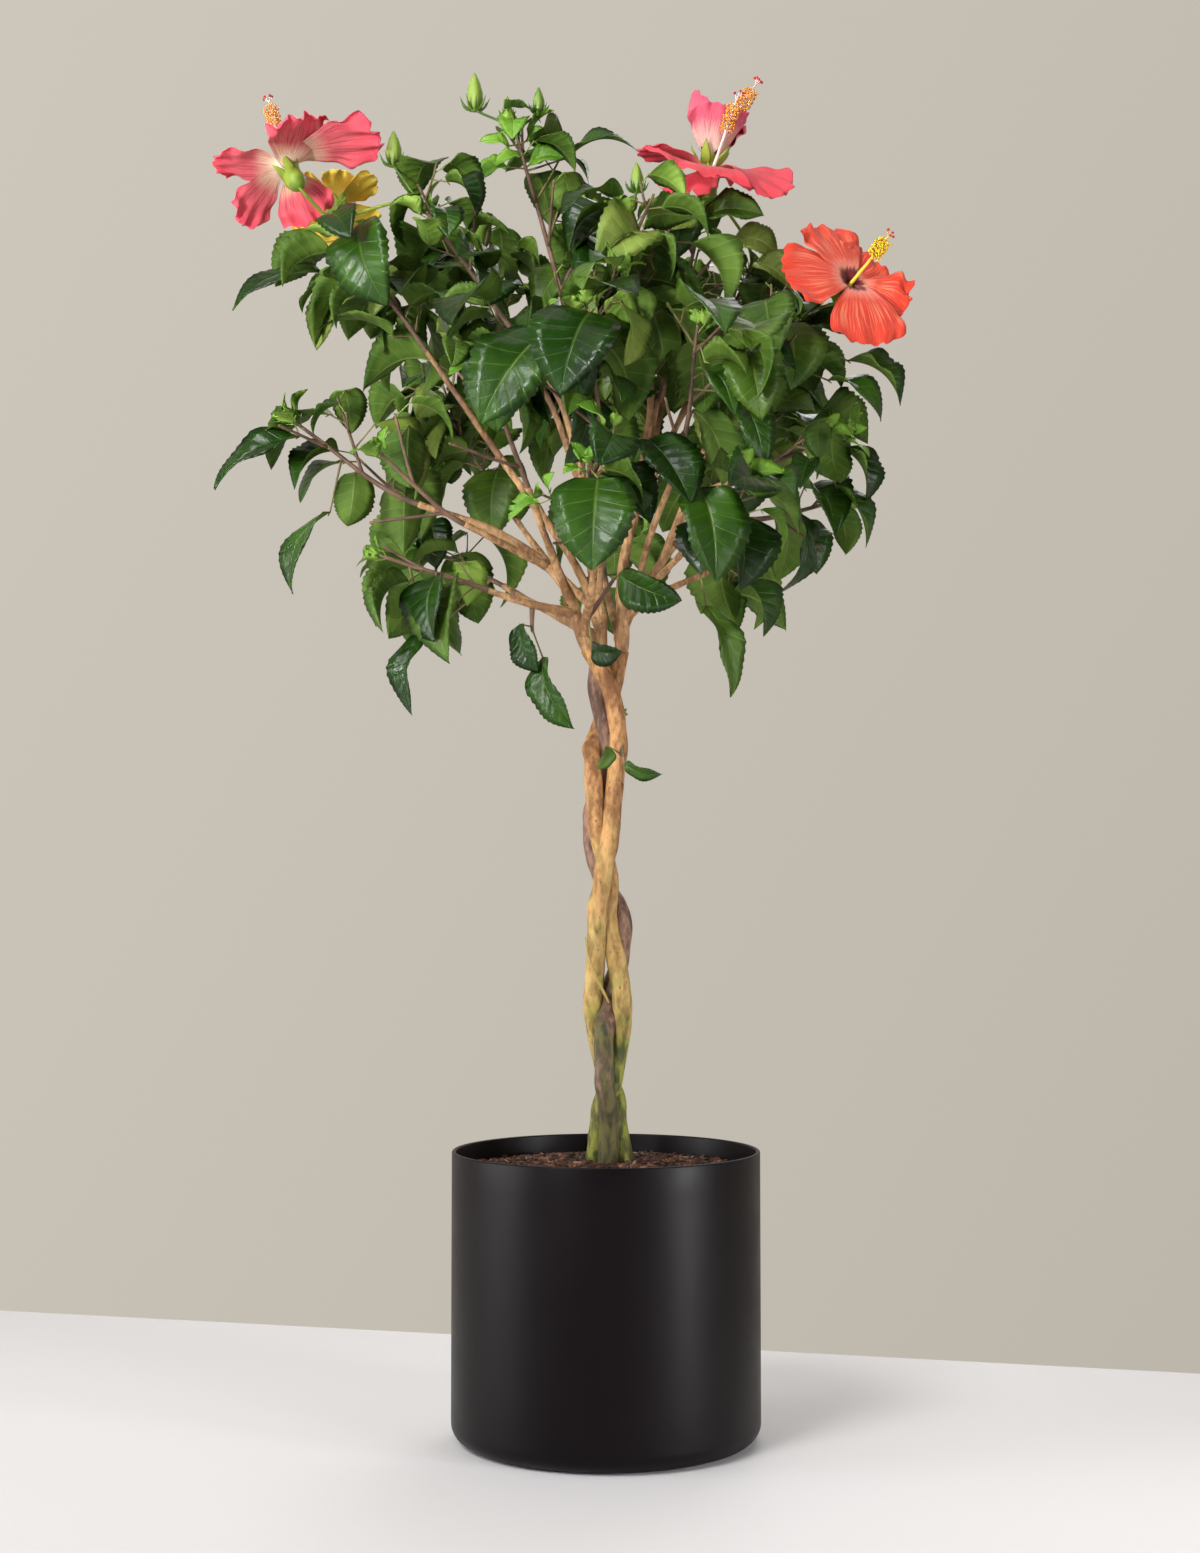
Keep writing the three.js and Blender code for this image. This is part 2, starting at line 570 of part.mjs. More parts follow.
function leafFits(leaf, mass, setting) {
  const blade = leaf.samples;
  return [leaf.neck, ...blade].every((point) => inSpace(point, mass.space, SPACE.margin))
    && !setting.keepOuts.some((room) => blade.some((point) => room(point)))
    && clearOfStretches(blade, setting.stretches, SPACE.limbClearance)
    && clearOfStretches(blade.slice(LEAF_ROW), mass.stretches, SPACE.twigClearance)
    && setting.singles.every((single) => farApart(blade, single.samples, SPACE.singleClearance))
    && mass.leaves.every((other) => farApart(blade, other.samples, SPACE.leafClearance));
}

function twigFits(line, mass, setting) {
  const inner = line.slice(1);
  return inner.every((point) => inSpace(point, mass.space, SPACE.margin + TWIG.radius))
    && !setting.keepOuts.some((room) => inner.some((point) => room(point)))
    && clearOfStretches(inner, setting.stretches, TWIG.radius + SPACE.twigGap)
    && setting.singles.every((single) => farApart(inner, single.samples, SPACE.singleClearance))
    && mass.leaves.every((leaf) => farApart(inner, leaf.samples, SPACE.leafClearance));
}

function addTwig(mass, line, radii, squareStart) {
  mass.twigs.push({ line, radii, squareStart });
  line.slice(1).forEach((b, i) => mass.stretches.push({ a: line[i], b, radius: radii[i] }));
}

// Tries a leaf at a node, turning and drooping it a little more each time until it fits.
function tryLeaf(mass, setting, random, node, direction, angle, size) {
  const [first, second] = squareTo(direction);
  const between = (low, high) => low + (high - low) * random();
  const length = between(LEAF.shortest, LEAF.longest) * size;
  const petioleLength = length * between(LEAF.petioleLeast, LEAF.petioleMost);
  const low = THREE.MathUtils.clamp(1 - (node.z - CROWN.bottom) / (CROWN.top - CROWN.bottom), 0, 1);
  const droop = between(LEAF.droopLeast, LEAF.droopMost) + LEAF.droopLow * low;
  const roll = between(-LEAF.roll, LEAF.roll);
  const sag = between(LEAF.sagLeast, LEAF.sagMost);
  for (let attempt = 0; attempt < TRIES; attempt++) {
    const swing = (attempt % 2 ? -1 : 1) * Math.ceil(attempt / 2) * LEAF.swing;
    const radial = first.clone().multiplyScalar(Math.cos(angle + swing))
      .addScaledVector(second, Math.sin(angle + swing));
    const petiole = radial.clone().addScaledVector(direction, LEAF.lean).normalize();
    const heading = radial.clone().addScaledVector(mass.outward, LEAF.facing);
    const shrink = 1 - attempt * LEAF.shrink;
    const leaf = makeLeaf(node, petiole, heading, length * shrink, petioleLength * shrink,
      droop + attempt * LEAF.droopStep, roll, sag);
    if (leafFits(leaf, mass, setting)) {
      mass.leaves.push(leaf);
      return;
    }
  }
}

// The shoot of a branch: from the tip of its bough, or from the side of the limb it grows on.
function shootOf(branch, limbs) {
  const limb = limbs.find((one) => one.name === (branch.tip ? branch.name : branch.on));
  const last = limb.line.length - 1;
  const lead = branch.tip ? directionAt(limb.line, last) : null;
  const start = branch.tip ? along(limb.line[last], lead, GAP) : pointOn(limb.line, branch.share);
  return { line: smoothLine([start, vector(branch.end)], SHOOT.steps, lead), lead };
}

function outwardOf(branch) {
  return vector(branch.end).sub(new THREE.Vector3(0, 0, CROWN.centre)).normalize();
}

// The leaves of a branch that stand out singly, each on a stalk or a fine twig from the shoot.
function singleLeaves(branch, limbs) {
  const shoot = shootOf(branch, limbs).line;
  return (branch.leaves ?? []).map((row) => {
    const neck = vector(row.neck);
    const chord = vector(row.tip).sub(neck);
    const length = chord.length();
    const direction = chord.divideScalar(length);
    const root = pointOn(shoot, row.at);
    const stalk = neck.distanceTo(root);
    const twigShare = stalk > LEAF.longestStalk ? 1 - LEAF.longestStalk / 2 / stalk : 0;
    const node = root.clone().lerp(neck, twigShare);
    const facing = outwardOf(branch).add(vector(LEAF.singleFacing));
    const normal = facing.addScaledVector(direction, -facing.dot(direction)).normalize();
    const axis = along(direction, normal, LEAF.singleSag).normalize();
    const leaf = {
      node, neck, axis, normal, length, petiole: neck.clone().sub(node).normalize(),
      side: axis.clone().cross(normal).normalize(), sag: LEAF.singleSag, half: row.half / length,
      owner: branch.name, twig: twigShare ? [root, root.clone().lerp(node, 0.5), node] : null,
    };
    leaf.samples = LEAF_SAMPLES.map(([u, across]) => bladePoint(leaf, u, across));
    return leaf;
  });
}

function growMass(branch, index, spines, limbs, setting) {
  const random = seeded(SEED + index * SEED_STEP);
  const { line: shoot, lead } = shootOf(branch, limbs);
  const firstRadius = branch.tip ? BOUGH.tipRadius : TWIG.radius;
  const mass = {
    name: `foliage_${branch.name}`,
    outward: outwardOf(branch),
    space: {
      spine: spines[index], reach: branch.reach, walls: wallsOf(spines, index),
      lowest: branch.lowest ?? SPACE.lowest,
    },
    twigs: [],
    leaves: [],
    stretches: [],
    isSideShoot: !branch.tip,
  };
  addTwig(mass, shoot, shoot.map((_, i) =>
    THREE.MathUtils.lerp(firstRadius, SHOOT.tipRadius, i / SHOOT.steps)), lead);
  const singles = setting.singles.filter((leaf) => leaf.owner === branch.name);
  for (const leaf of singles.filter((one) => one.twig)) addTwig(mass, leaf.twig, TWIG.radii);
  if (branch.tip) growShoot(mass, setting, random, shoot);
  mass.leaves.push(...singles);
  return mass;
}

// Leaves at every node of a shoot, a side twig at some of them, and a rosette at its tip.
function growShoot(mass, setting, random, shoot) {
  const nodes = Math.round(shoot[0].distanceTo(shoot[shoot.length - 1]) / SHOOT.nodeStep);
  let angle = random() * 2 * Math.PI;
  for (let i = 1; i < nodes; i++) {
    const share = i / nodes;
    angle += GOLDEN_ANGLE;
    const place = pointOn(shoot, share);
    const direction = directionOn(shoot, share);
    if (i % TWIG.every === 1) growTwig(mass, setting, random, place, direction, angle + Math.PI, share);
    tryLeaf(mass, setting, random, place, direction, angle, 1);
  }
  growRosette(mass, setting, random, pointOn(shoot, 1), directionOn(shoot, 1), angle, ROSETTE.shoot);
}

function growTwig(mass, setting, random, root, shootDirection, angle, share) {
  const [first, second] = squareTo(shootDirection);
  const fullLength = TWIG.longest + (TWIG.shortest - TWIG.longest) * share;
  for (let attempt = 0; attempt < TRIES; attempt++) {
    const turned = angle + attempt * TWIG.swing;
    const direction = first.clone().multiplyScalar(Math.cos(turned) * Math.sin(TWIG.angle))
      .addScaledVector(second, Math.sin(turned) * Math.sin(TWIG.angle))
      .addScaledVector(shootDirection, Math.cos(TWIG.angle))
      .addScaledVector(mass.outward, TWIG.outward).normalize();
    const length = fullLength * (1 - attempt * TWIG.shrink);
    const lift = new THREE.Vector3(0, 0, length * TWIG.lift);
    const line = smoothLine([root, along(root, direction, length).add(lift)],
      TWIG.radii.length - 1, direction);
    if (!twigFits(line, mass, setting)) continue;
    addTwig(mass, line, TWIG.radii);
    const nodes = Math.max(TWIG.leastNodes, Math.round(length / SHOOT.nodeStep));
    let turn = random() * 2 * Math.PI;
    for (let i = 1; i < nodes; i++) {
      turn += GOLDEN_ANGLE;
      const at = i / nodes;
      tryLeaf(mass, setting, random, pointOn(line, at), directionOn(line, at), turn, 1);
    }
    growRosette(mass, setting, random, pointOn(line, 1), directionOn(line, 1), turn, ROSETTE.twig);
    return;
  }
}

// Leaves close together round a tip, the youngest smallest.
function growRosette(mass, setting, random, tip, direction, angle, sizes) {
  sizes.forEach((size, i) => {
    const node = along(tip, direction, -ROSETTE.step * (sizes.length - 1 - i) - ROSETTE.inset);
    tryLeaf(mass, setting, random, node, direction, angle + (i + 1) * GOLDEN_ANGLE, size);
  });
}

// Blooms and buds

// A bloom's own frame: the way it faces, and two directions across it.
function bloomFrame(bloom) {
  const facing = vector(bloom.facing).normalize();
  const [first, second] = squareTo(facing);
  return { eye: vector(bloom.eye), facing, first, second };
}

// The room round a bloom that leaves keep out of: its disc, and the column in front of it.
function bloomRoom(bloom) {
  const { eye, facing } = bloomFrame(bloom);
  return (point) => {
    const offset = point.clone().sub(eye);
    const ahead = offset.dot(facing);
    const aside = Math.sqrt(Math.max(offset.lengthSq() - ahead ** 2, 0));
    const nearDisc = Math.abs(ahead) < BLOOM.depth && aside < bloom.radius + SPACE.bloomClearance;
    const nearColumn = ahead >= 0 && ahead < BLOOM.column * bloom.radius && aside < BLOOM.columnRoom;
    return nearDisc || nearColumn;
  };
}

function budRoom(bud) {
  const tip = vector(bud.tip);
  const centre = along(tip, UP, -bud.length / 2);
  return (point) => point.distanceTo(centre) < bud.length / 2 + SPACE.bloomClearance;
}

// A petal as three-cornered sections that widen from the eye to the frilled end.
function petalSolid(frame, bloom, turn) {
  const outward = frame.first.clone().multiplyScalar(Math.cos(turn))
    .addScaledVector(frame.second, Math.sin(turn));
  const across = frame.facing.clone().cross(outward);
  const rings = BLOOM.petal.map(([share, width, lift]) => {
    const spread = share * bloom.radius * Math.sin(bloom.open * Math.PI / 2);
    const rise = share * bloom.radius * Math.cos(bloom.open * Math.PI / 2) + lift * bloom.radius;
    const centre = along(frame.eye, outward, spread + BLOOM.throat).addScaledVector(frame.facing, rise);
    const half = width * bloom.radius * THREE.MathUtils.lerp(BLOOM.furledWidth, 1, bloom.open);
    return [
      along(centre, frame.facing, BLOOM.thickness),
      along(centre, across, half).addScaledVector(frame.facing, -BLOOM.thickness / 2),
      along(centre, across, -half).addScaledVector(frame.facing, -BLOOM.thickness / 2),
    ];
  });
  return toSolid(loft(rings));
}

function taperSolid(line, radii, sides, startDirection) {
  return toSolid(loft(tubeRings(line, radii, sides, startDirection)));
}

function bloomSolids(bloom, shootEnd, shootDirection) {
  const frame = bloomFrame(bloom);
  const ahead = (distance) => along(frame.eye, frame.facing, distance);
  const stalk = smoothLine([shootEnd, ahead(BLOOM.stalkEnd - BLOOM.calyx)], SHOOT.steps, shootDirection);
  const petals = Array.from({ length: PETALS }, (_, i) =>
    petalSolid(frame, bloom, BLOOM.firstTurn + (i / PETALS) * 2 * Math.PI));
  return [
    taperSolid(stalk, stalk.map(() => BLOOM.stalkRadius), SHOOT.sides),
    taperSolid([ahead(-BLOOM.calyx), ahead(BLOOM.throat)], BLOOM.cupRadii, BLOOM.cupSides),
    taperSolid([ahead(0), ahead(BLOOM.column * bloom.radius)], BLOOM.columnRadii, BLOOM.columnSides),
    ...petals,
  ];
}

function budSolids(bud, shootEnd, shootDirection) {
  const line = BUD.shares.map((share) => along(vector(bud.tip), UP, (share - 1) * bud.length));
  const radii = BUD.widths.map((width) => width * bud.length);
  const stalk = smoothLine([shootEnd, along(line[0], UP, BUD.stalkSunk)], BUD.stalkSteps, shootDirection);
  return [
    taperSolid(stalk, stalk.map(() => BUD.stalkRadius), SHOOT.sides),
    taperSolid(line, radii, BUD.sides),
  ];
}

function massSolid(mass, extras, limbs) {
  const twigs = mass.twigs.map((twig) => taperSolid(twig.line, twig.radii, SHOOT.sides, twig.squareStart));
  const leaves = mass.leaves.map(leafSolid);
  let solid = wasm.Manifold.union([...twigs, ...leaves, ...extras]);
  if (mass.isSideShoot) {
    for (const limb of limbs) solid = clearOf(solid, limb);
  }
  return mainPiece(solid.simplify(MERGE));
}

// The whole plant

function material(colour, roughness) {
  return new THREE.MeshStandardMaterial({ color: colour, roughness, metalness: 0 });
}

function named(name, geometry, look) {
  const mesh = new THREE.Mesh(geometry, look);
  mesh.name = name;
  return mesh;
}

const group = new THREE.Group();
const looks = {
  pot: material(0x1d1b1c, 0.55),
  soil: material(0x4a2f22, 0.95),
  bark: material(0xa98155, 0.85),
  foliage: material(0x2c4a26, 0.5),
};

group.add(named('pot', makePot(), looks.pot));
group.add(named('soil', makeSoil(), looks.soil));

const limbs = makeStemLimbs();
for (const limb of limbs) group.add(named(limb.name, stemGeometry(limb), looks.bark));

for (const branch of BRANCHES.filter((row) => row.tip)) {
  const limb = makeBoughLimb(branch, limbs);
  group.add(named(`bough_${branch.name}`, toGeometry(boughSolid(limb, limbs)), looks.bark));
  limbs.push(limb);
}

const stretches = limbs.flatMap((limb) => limb.line.slice(1).map((b, i) => (
  { a: limb.line[i], b, radius: Math.max(limb.radii[i], limb.radii[i + 1]) })));
const setting = {
  stretches,
  keepOuts: [...BLOOMS.map(bloomRoom), ...BUDS.map(budRoom)],
  singles: BRANCHES.flatMap((branch) => singleLeaves(branch, limbs)),
};
const spines = BRANCHES.map((branch) => {
  const bough = limbs.find((limb) => limb.name === (branch.tip ? branch.name : branch.on));
  return [branch.tip ? vector(branch.tip) : pointOn(bough.line, branch.share), vector(branch.end)];
});

BRANCHES.forEach((branch, index) => {
  const mass = growMass(branch, index, spines, limbs, setting);
  const shoot = mass.twigs[0].line;
  const end = shoot[shoot.length - 1];
  const direction = directionAt(shoot, shoot.length - 1);
  const extras = [
    ...BLOOMS.filter((bloom) => bloom.on === branch.name).flatMap((row) => bloomSolids(row, end, direction)),
    ...BUDS.filter((bud) => bud.on === branch.name).flatMap((row) => budSolids(row, end, direction)),
  ];
  group.add(named(mass.name, toGeometry(massSolid(mass, extras, limbs)), looks.foliage));
});

export default group;
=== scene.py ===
"""A potted hibiscus grown as a small standard tree, in a plain studio.

Three plaited stems rise from a dome of bark chips in a matte black pot and fork into boughs. Every bough
ends in a leafy shoot, grown by the same seeded rule as the solids' and carried on to finer twigs in the
same space. Lengths are in millimetres until a piece is made, and angles in radians where nothing else is
said.
"""

import math
from types import SimpleNamespace as Table

import bpy
import numpy as np
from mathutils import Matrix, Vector


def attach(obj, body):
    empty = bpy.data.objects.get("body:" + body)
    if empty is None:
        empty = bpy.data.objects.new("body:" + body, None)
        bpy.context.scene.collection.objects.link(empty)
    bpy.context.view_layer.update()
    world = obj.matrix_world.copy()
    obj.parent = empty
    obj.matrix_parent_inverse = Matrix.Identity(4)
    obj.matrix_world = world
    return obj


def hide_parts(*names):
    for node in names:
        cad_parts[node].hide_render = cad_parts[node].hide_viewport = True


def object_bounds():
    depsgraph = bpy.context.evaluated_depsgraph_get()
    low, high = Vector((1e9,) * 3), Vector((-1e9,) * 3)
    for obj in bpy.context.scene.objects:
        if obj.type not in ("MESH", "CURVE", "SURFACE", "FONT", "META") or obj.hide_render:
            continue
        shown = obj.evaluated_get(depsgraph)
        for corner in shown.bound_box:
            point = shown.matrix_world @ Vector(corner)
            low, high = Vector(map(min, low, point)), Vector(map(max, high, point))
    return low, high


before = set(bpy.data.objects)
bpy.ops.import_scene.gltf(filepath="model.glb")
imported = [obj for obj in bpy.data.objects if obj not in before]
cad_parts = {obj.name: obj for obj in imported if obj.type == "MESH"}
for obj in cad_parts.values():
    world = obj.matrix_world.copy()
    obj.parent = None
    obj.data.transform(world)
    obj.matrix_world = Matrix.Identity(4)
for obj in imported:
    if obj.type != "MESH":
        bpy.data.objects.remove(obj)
cad_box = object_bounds()

MM = 0.001

# Driving dimensions, the same as the solids'. A table's parts are read by name, as in POT.radius.

GAP = 0.3
POT = Table(radius=150, height=277, wall=4, floor=6, corner=18)
SOIL = Table(edge=255, shoulder=260, shoulder_radius=95, crown=263, flat_radius=45)
STEM = Table(foot_radius=9.6, radius=8.6, top_radius=7.2, flare_height=26, levels=26, lean=1.0, rounds=60)
FORK_HEIGHT = 766
BOUGH = Table(steps=5, bent_steps=7, tip_radius=2.9, taper=0.8, share_of_parent=0.78, least_radius=3.9)
SHOOT = Table(tip_radius=2.1, steps=3, node_step=22)
TWIG = Table(tries=6, radius=2.5, radii=(1.1, 2.4, 2.0), longest=88, shortest=46, angle=0.95, every=2,
             least_nodes=2, swing=0.9, shrink=0.08, outward=0.35, lift=0.08)
ROSETTE = Table(shoot=(0.95, 0.8, 0.65), twig=(0.85, 0.65), step=9, inset=1.5)
LEAF = Table(tries=6, shortest=66, longest=96, half_width=0.335, widest=0.38, fold=0.2, sag_least=0.06,
             sag_most=0.24, droop_least=0.0, droop_most=0.95, droop_low=0.5, droop_step=0.12,
             petiole_least=0.2, petiole_most=0.42, roll=0.45, lean=0.6, facing=0.6, swing=0.35, shrink=0.05,
             single_sag=0.1, single_facing=(0, -0.7, 0.3), longest_stalk=42)
SPACE = Table(margin=1.2, limb_clearance=5, twig_gap=1, twig_clearance=2, leaf_clearance=7,
              single_clearance=9, bloom_clearance=4, lowest=800)
SEED = 101
SEED_STEP = 37
CROWN = Table(bottom=800, centre=960, top=1250)
NEARLY_UPRIGHT = 0.9
GOLDEN_ANGLE = math.pi * (3 - math.sqrt(5))
UP = np.array((0.0, 0.0, 1.0))

# The plait: at each height, how far each stem lies to the right of the axis and behind it.

PLAIT = [
    (SOIL.crown + GAP, ((18, 6), (3, -9), (-10, 7))),
    (300, ((13, 10), (3, -11), (-7, 6))),
    (340, ((5, 16), (0, -15), (5, 0))),
    (384, ((-8, 9), (-2, -12), (15, 1))),
    (425, ((-13, -1), (3, 6), (17, -8))),
    (463, ((-11, -8), (16, 11), (11, -7))),
    (500, ((-8, -11), (15, 9), (4, 2))),
    (548, ((-2, -15), (-6, 15), (1, 0))),
    (590, ((4, -11), (-15, 11), (-8, -3))),
    (640, ((11, -4), (-6, 12), (-14, -5))),
    (672, ((14, -9), (1, 3), (-12, 6))),
    (700, ((11, -13), (-4, -1), (-3, 15))),
    (728, ((4, -15), (-10, 2), (7, 13))),
    (FORK_HEIGHT, ((-17, -13), (-6, 5), (15, 7))),
]


def branch(name, on, share, end, via=(), tip=None, reach=88, lowest=None, leaves=()):
    """A branch: the limb it grows on and how far along it, the end of its leafy shoot, the places its bough
    passes through, the bough's tip, and how far and how low its leaves reach. A single leaf that stands
    out is (how far along the shoot, its neck, its tip, half its width)."""
    return dict(name=name, on=on, share=share, end=end, via=via, tip=tip, reach=reach,
                lowest=lowest or SPACE.lowest, leaves=leaves)


BRANCHES = [
    branch("leader", "stem_2", 1, (-88, 0, 1280), ((-14, 8, 856), (-26, 10, 965)), (-34, 4, 1056), 92,
           leaves=((0.85, (-38, -10, 1256), (32, -12, 1265), 12),)),
    branch("left", "stem_1", 1, (-306, -28, 988), ((-45, -20, 833), (-104, -14, 879)),
           (-184, -18, 908), 92, 790,
           ((1, (-300, -24, 974), (-385, -24, 923), 17), (0.6, (-268, -40, 897), (-308, -45, 818), 14))),
    branch("top_right", "stem_3", 1, (92, 5, 1185), ((17, 20, 850), (36, 36, 943)), (52, 26, 1022)),
    branch("upper_left", "leader", 0.1, (-262, -45, 1172), ((-33, -12, 854), (-99, -28, 946)),
           (-176, -38, 1056), 98, None,
           ((0.7, (-278, -36, 1134), (-368, -36, 1101), 17),
            (0.8, (-234, -85, 1169), (-210, -100, 1084), 30))),
    branch("mid_left", "leader", 0.6, (-176, -22, 1196), ((-48, -4, 1020),), (-92, -10, 1082), 84),
    branch("right", "top_right", 0.1, (219, 0, 976), ((46, 2, 838), (86, 0, 912)), (134, 0, 939), 88, 840,
           ((0.9, (226, -10, 929), (260, -15, 868), 15), (1, (232, -5, 967), (258, -10, 910), 16))),
    branch("left_inner", "left", 0.42, (-212, -104, 940), ((-104, -52, 866),), (-136, -68, 880), 84, 820),
    branch("low_left", "left", 0.17, (-216, -48, 852), ((-76, -34, 808),), (-114, -40, 820), 100, 690,
           ((0.5, (-162, -70, 830), (-166, -95, 765), 30), (0.75, (-176, -40, 779), (-190, -45, 698), 15))),
    branch("right_low", "right", 0.62, (226, 30, 918), ((122, 18, 898),), (150, 24, 900), 84, 800,
           ((0.6, (193, 12, 905), (177, 6, 822), 17),)),
    branch("bloom_right", "right", 0.5, (188, -26, 1088), ((92, -16, 950),), (124, -20, 1000), 84, 940,
           ((0.8, (236, -30, 1048), (290, -40, 1005), 16), (0.6, (216, -40, 1026), (268, -50, 985), 16))),
    branch("right_top", "top_right", 0.5, (146, 55, 1158), ((72, 52, 1000),), (96, 56, 1050)),
    branch("top_front", "top_right", 0.6, (24, -100, 1168), ((44, -12, 1010),), (36, -46, 1058)),
    branch("front_right", "right", 0.14, (84, -164, 1046), ((40, -58, 862),), (64, -108, 920), 88, 860,
           ((0.6, (119, -150, 989), (146, -175, 916), 17), (0.3, (38, -190, 937), (76, -215, 873), 24))),
    branch("front_low_right", "right", 0.24, (116, -186, 904), ((62, -56, 842),), (82, -94, 858),
           leaves=((0.8, (85, -192, 893), (98, -215, 804), 29),)),
    branch("front_high", "leader", 0.18, (-18, -204, 1054), ((-6, -70, 886),), (-6, -122, 940), 92, 900,
           ((0.8, (-55, -215, 1029), (-114, -235, 945), 31), (1, (-15, -225, 1045), (-41, -255, 963), 35))),
    branch("front_low", "left", 0.07, (-16, -222, 906), ((-14, -62, 816),), (-10, -104, 842),
           leaves=((1, (-8, -240, 893), (-13, -265, 809), 33),)),
    branch("front_left", "left", 0.22, (-112, -186, 1006), ((-58, -66, 868),), (-74, -100, 910), 92),
    branch("back_left", "leader", 0.14, (-172, 194, 1040), ((-58, 66, 862),), (-102, 114, 928), 92),
    branch("back_mid", "leader", 0.25, (-16, 218, 1100), ((-12, 72, 910),), (-14, 122, 976), 92),
    branch("back_right", "top_right", 0.16, (168, 192, 1050), ((62, 72, 870),), (104, 116, 932), 92),
    branch("back_low_left", "leader", 0.05, (-192, 200, 900), ((-62, 74, 816),), (-106, 120, 846), 92, 780),
    branch("back_low", "top_right", 0.04, (-4, 238, 922), ((4, 76, 822),), (0, 124, 852), 92, 780),
    branch("back_low_right", "right", 0.1, (186, 190, 910), ((66, 66, 836),), (108, 112, 860), 92, 780),
    branch("back_high_left", "leader", 0.52, (-140, 124, 1194), ((-54, 58, 1020),), (-86, 84, 1078)),
    branch("back_high_right", "top_right", 0.45, (92, 148, 1170), ((52, 84, 1000),), (62, 108, 1056)),
    branch("fork_left", "low_left", 0.45, (-72, -22, 784), reach=90, lowest=670,
           leaves=((0.9, (-84, -25, 789), (-66, -35, 740), 13), (1, (-62, -24, 757), (-31, -35, 685), 15))),
    branch("fork_right", "right", 0.5, (92, -12, 842), reach=90, lowest=700,
           leaves=((1, (98, -15, 809), (123, -15, 718), 13),)),
    branch("fork_front", "front_low", 0.15, (8, -52, 830), reach=90, lowest=740,
           leaves=((1, (12, -60, 832), (71, -75, 804), 17), (0.1, (-14, -34, 764), (15, -48, 759), 12))),
    branch("stem_sprig", "stem_1", 0.78, (16, -24, 668), reach=60, lowest=630,
           leaves=((1, (18, -28, 652), (54, -34, 640), 8), (0.5, (4, -32, 668), (-8, -38, 646), 7))),
]

BLOOMS = [
    dict(name="pink", on="upper_left", eye=(-293, -50, 1232), facing=(-0.35, 0.25, 0.9), radius=72),
    dict(name="coral", on="top_right", eye=(106, 0, 1238), facing=(0.2, -0.2, 0.95), radius=70),
    dict(name="orange", on="bloom_right", eye=(238, -42, 1122), facing=(0.35, -0.85, 0.4), radius=60),
    dict(name="yellow", on="mid_left", eye=(-236, 44, 1232), facing=(-0.3, 0.6, 0.74), radius=52),
    dict(name="furled", on="right_top", eye=(112, 40, 1284), facing=(0.35, -0.05, 0.93), radius=40),
]
PETALS = 5
BLOOM = Table(depth=22, column=0.95, column_room=12)
BUD = Table(stalk_radius=1.3, stalk_sunk=2)
BUDS = [
    dict(on="leader", tip=(-131, -2, 1345), length=34),
    dict(on="leader", tip=(-99, 10, 1326), length=20),
    dict(on="leader", tip=(-67, -4, 1330), length=24),
    dict(on="upper_left", tip=(-292, -112, 1238), length=30),
    dict(on="mid_left", tip=(-209, -30, 1277), length=32),
    dict(on="top_front", tip=(29, -100, 1222), length=26),
]

# What only this scene adds to the growth: shorter twigs between the solids' own, with smaller leaves, and
# tufts of young leaves at the tips

FINE = Table(seed=907, shrink=0, node_step=16, first=0.12, spacing=3.4, size=0.95, ease=0.55,
             bough_from=0.45, tries=5, shortest=20, longest=48, angle=1.05, radii=(1.6, 1.5, 1.3),
             rosette=(0.95, 0.8, 0.55),
             kept=((840, 960, 1010, 1090, 1150, 1250), (0.05, 0.15, 0.75, 0.9, 0.35, 0.5)), beyond_solids=8)
THINNED = Table(seed=311, heights=(820, 900, 980, 1030, 1080, 1140, 1200),
                kept=(0.2, 0.42, 0.6, 0.8, 1, 0.5, 0.62))
TUFT = Table(sizes=(0.42, 0.36, 0.3, 0.24, 0.19, 0.15), widest_angle=1.15, least_angle=0.3, step=2.2,
             stalk=0.35, half_width=0.27, sag=0.12, lift=0.3, cupped=0.2, lengths=(0.8, 1.1),
             shares=dict(shoot=1, twig=0.2, spur=0.06))

# Small leaves round a tip in the photograph: how far along the shoot, neck, tip and half the width

WHORLS = dict(
    leader=((1, (-91, -4, 1296), (-92, -32, 1270), 14), (0.97, (-95, -8, 1269), (-126, -16, 1272), 6),
            (0.97, (-79, -8, 1274), (-52, -16, 1277), 6.5), (0.9, (-85, -10, 1258), (-111, -20, 1244), 6),
            (0.86, (-77, -6, 1250), (-42, -18, 1255), 10), (0.86, (-97, -8, 1247), (-130, -22, 1229), 9)),
    right_top=((1, (129, 30, 1187), (173, 16, 1168), 16), (0.9, (150, 20, 1160), (188, 8, 1128), 15)),
    top_right=((1, (97, 0, 1200), (157, -12, 1198), 15), (0.9, (86, -12, 1196), (54, -30, 1176), 15)))

# The place that the photograph was taken from, and the stretches of bough and of shoot that it shows with no
# leaf in front, from how far along to how far

EYE = (-5.8, -2200, 526)
OPEN_VIEW = Table(
    clearance=8, parts=7,
    boughs=(("upper_left", 0.3, 1), ("left", 0.1, 1), ("low_left", 0.2, 0.9), ("leader", 0, 0.35),
            ("top_right", 0, 0.45), ("right", 0, 0.6)),
    shoots=(("upper_left", 0, 0.4), ("left", 0, 0.8), ("leader", 0.15, 1), ("front_right", 0.2, 1)))


def vec(place):
    return np.array(place, float)


def length_of(vector):
    return math.sqrt(vector @ vector)


def unit(vector):
    return vector / length_of(vector)


def swung(a, b, angle):
    """A direction swung by an angle towards another that is square to it."""
    return a * math.cos(angle) + b * math.sin(angle)


def nearest_square(direction, vector):
    """The unit vector square to a direction that lies nearest to another vector."""
    return unit(vector - direction * (vector @ direction))


